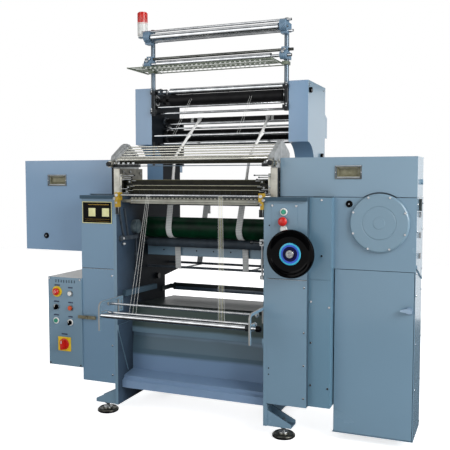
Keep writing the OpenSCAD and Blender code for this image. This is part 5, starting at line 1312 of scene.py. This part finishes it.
def makeSmallParts():
    bm = bmesh.new()
    for x, z in small["holes"]:  # tapped holes in the right column, drawn as dark discs of painted shade
        addTurned(bm, (x, 0.1, z), front, [(0, 3.4), (0.3, 3.4), (0.3, 0)], 0, 20)
    for x in small["beamHoles"]:  # holes of the beam, drawn as dark discs of painted shade
        addTurned(bm, (x, *small["beamHoleAt"]), front, [(0, 4.6), (0.3, 4.6), (0.3, 0)], 0, 18)
    finishPiece("drilled_holes", bm, [blackSteelAndPaintedShade], "frame")
    bm = bmesh.new()
    for s in sides:  # lock nuts of the tray
        for y, z in small["trayNuts"]:
            addTurned(bm, (s * (plateX + 0.2), y, z), (s, 0, 0), [(-0.5, 8), (4, 8), (5, 7), (5, 4)], 0, 6)
    for z in small["leverPins"]:  # bright pins of the linkage's lever
        addTurned(bm, (*small["leverPinAt"], z), front, [(-6, 4.2), (0, 5.4), (5, 5.6), (7, 4.4), (8, 2)], 1, 16)
    finishPiece("tray_nuts", bm, [zincSteel, edgeSteelAndPaintedHighlight], "frame")
    bm = bmesh.new()
    addTurned(bm, small["rosette"], front, [(0, 17), (1.4, 17), (2.4, 15.6), (2.4, 13)], 0, 40)  # under the door lever
    addBox(bm, *small["doorSeal"], 1)  # seal along the door's hinge side
    finishPiece("door_rosette", bm, [blueCastPaint, blackRubberAndPaintedShade], "right_door")


def makeGapStrips():
    near, far, *gap = small["headGap"]
    z = small["seamZ"]
    bm = bmesh.new()
    for s in sides:
        addBox(bm, s * near, s * far, *gap)
    for limits in small["gapStrips"]:
        addBox(bm, *limits)
    for x0, x1 in small["seams"]:  # painted shadow line where the column panels meet, and a pale strip below it as painted highlight
        addBox(bm, x0, x1, 0.15, 0.79, z - 0.9, z + 0.9)
        addBox(bm, x0, x1, -0.3, 0, z - 2.6, z - 1.4, 1, 0.1)
    addBox(bm, *small["angleBar"], 2, 0.2)
    finishPiece("cover_seals", bm, [blackRubberAndPaintedShade, edgeSteelAndPaintedHighlight, slateEnamel], "frame")


makeSmallParts()
makeGapStrips()
makeLouvres()
print("lower parts done")

# floor, light and camera
stage = {
    "floorHalf": 6.0, "floorGlow": 0.72, "ambient": 0.26,
    "ring": (5.6, 2.2, 8.5), "clothRadius": 2.8, "roundSteps": 48,  # ring: radius, lowest and highest Z, in metres
    # softboxes: place, aim, size, power, seen in reflections
    "softboxes": {"key_right": ((3.6, -1.6, 2.4), (0.2, 0, 1.0), 2.2, 140.0, True),
                  "fill_left_front": ((-2.2, -4.0, 2.6), (0, 0, 1.0), 3.0, 56.0, True),
                  "fill_back": ((0.6, 4.6, 2.4), (0, 0.2, 1.0), 3.4, 105.0, False),
                  "fill_left_side": ((-4.4, 1.0, 2.2), (0, 0, 1.0), 2.6, 45.0, False)},
    "camera": (1296.2, -2728.3, 1114.2), "tilt": 86.1, "turn": 22.2, "lens": 54.58,
}


def floorMaterial():
    # matt white studio floor: it glows for the camera as the background does, and still takes the soft shadow
    made, tree, shader, place = startMaterial("whiteStudioFloor", "F0F0F0", 0.9)
    rays = addNode(tree, "ShaderNodeLightPath")
    part = addNode(tree, "ShaderNodeMath", {0: rays.outputs["Is Camera Ray"], 1: stage["floorGlow"]},
                   operation="MULTIPLY")
    glow = addNode(tree, "ShaderNodeEmission", {"Color": (1, 1, 1, 1), "Strength": part.outputs[0]})
    both = addNode(tree, "ShaderNodeAddShader", {0: shader.outputs["BSDF"], 1: glow.outputs["Emission"]})
    out = [n for n in tree.nodes if n.type == "OUTPUT_MATERIAL"][0]
    tree.links.new(both.outputs[0], out.inputs["Surface"])
    return made


def stagePiece(name, points, faces, finish, onlyReflected=True):
    # a plain stage surface; black and grey studio cloth are seen only in reflections, where they draw the metals
    mesh = bpy.data.meshes.new(name)
    mesh.from_pydata(points, [], faces)
    mesh.materials.append(finish)
    thing = bpy.data.objects.new(name, mesh)
    for kind in ("camera", "diffuse", "transmission", "volume_scatter", "shadow"):
        setattr(thing, "visible_" + kind, not onlyReflected)
    thing.visible_glossy = onlyReflected
    scene.collection.objects.link(thing)


def makeStage():
    h, count = stage["floorHalf"], stage["roundSteps"]
    radius, low, high = stage["ring"]
    stagePiece("studio_floor", [(-h, -h, 0), (h, -h, 0), (h, h, 0), (-h, h, 0)], [(0, 1, 2, 3)], floorMaterial(), False)
    turn = [(math.cos(2 * math.pi * k / count), math.sin(2 * math.pi * k / count)) for k in range(count)]
    stagePiece("dark_ring", [(radius * u, radius * v, z) for z in (low, high) for u, v in turn],
               [(k, (k + 1) % count, count + (k + 1) % count, count + k) for k in range(count)],
               startMaterial("blackStudioCloth", "15171A", 0.9)[0])
    r = stage["clothRadius"]
    stagePiece("dark_cloth", [(r * u, r * v, 0.0005) for u, v in turn], [tuple(range(count))],
               startMaterial("greyStudioCloth", "303234", 0.9)[0])


def makeWorld():
    # soft pale light all round, pure white where the camera or a reflection looks into it
    world = bpy.data.worlds.new("studio")
    scene.world = world
    world.use_nodes = True
    sky = world.node_tree
    sky.nodes.clear()
    rays = addNode(sky, "ShaderNodeLightPath").outputs
    seen = addNode(sky, "ShaderNodeMath", {0: rays["Is Camera Ray"], 1: rays["Is Glossy Ray"]}, operation="MAXIMUM")
    seen = addNode(sky, "ShaderNodeMath", {0: seen.outputs[0], 1: rays["Is Transmission Ray"]}, operation="MAXIMUM")
    white = addNode(sky, "ShaderNodeBackground", {"Color": (1, 1, 1, 1), "Strength": 1.0})
    soft = addNode(sky, "ShaderNodeBackground", {"Color": (0.96, 0.98, 1, 1), "Strength": stage["ambient"]})
    both = addNode(sky, "ShaderNodeMixShader", {0: seen.outputs[0], 1: soft.outputs[0], 2: white.outputs[0]})
    addNode(sky, "ShaderNodeOutputWorld", {"Surface": both.outputs[0]})


def makeSoftbox(name, place, aim, size, power, seenInGloss):
    lamp = bpy.data.lights.new(name, "AREA")
    lamp.shape = "SQUARE"
    lamp.size = size
    lamp.energy = power
    thing = bpy.data.objects.new(name, lamp)
    thing.location = place
    thing.rotation_euler = (Vector(aim) - Vector(place)).to_track_quat("-Z", "Y").to_euler()
    thing.visible_glossy = seenInGloss
    scene.collection.objects.link(thing)


def makeCamera():
    lens = bpy.data.cameras.new("view")
    lens.sensor_width = 36
    lens.lens = stage["lens"]
    lens.clip_end = 60
    view = bpy.data.objects.new("view", lens)
    view.location = at(*stage["camera"])
    view.rotation_euler = (math.radians(stage["tilt"]), 0, math.radians(stage["turn"]))
    scene.collection.objects.link(view)
    scene.camera = view


makeStage()
makeWorld()
for name, box in stage["softboxes"].items():
    makeSoftbox(name, *box)
makeCamera()
scene.view_settings.view_transform = "Standard"

print("stage set")
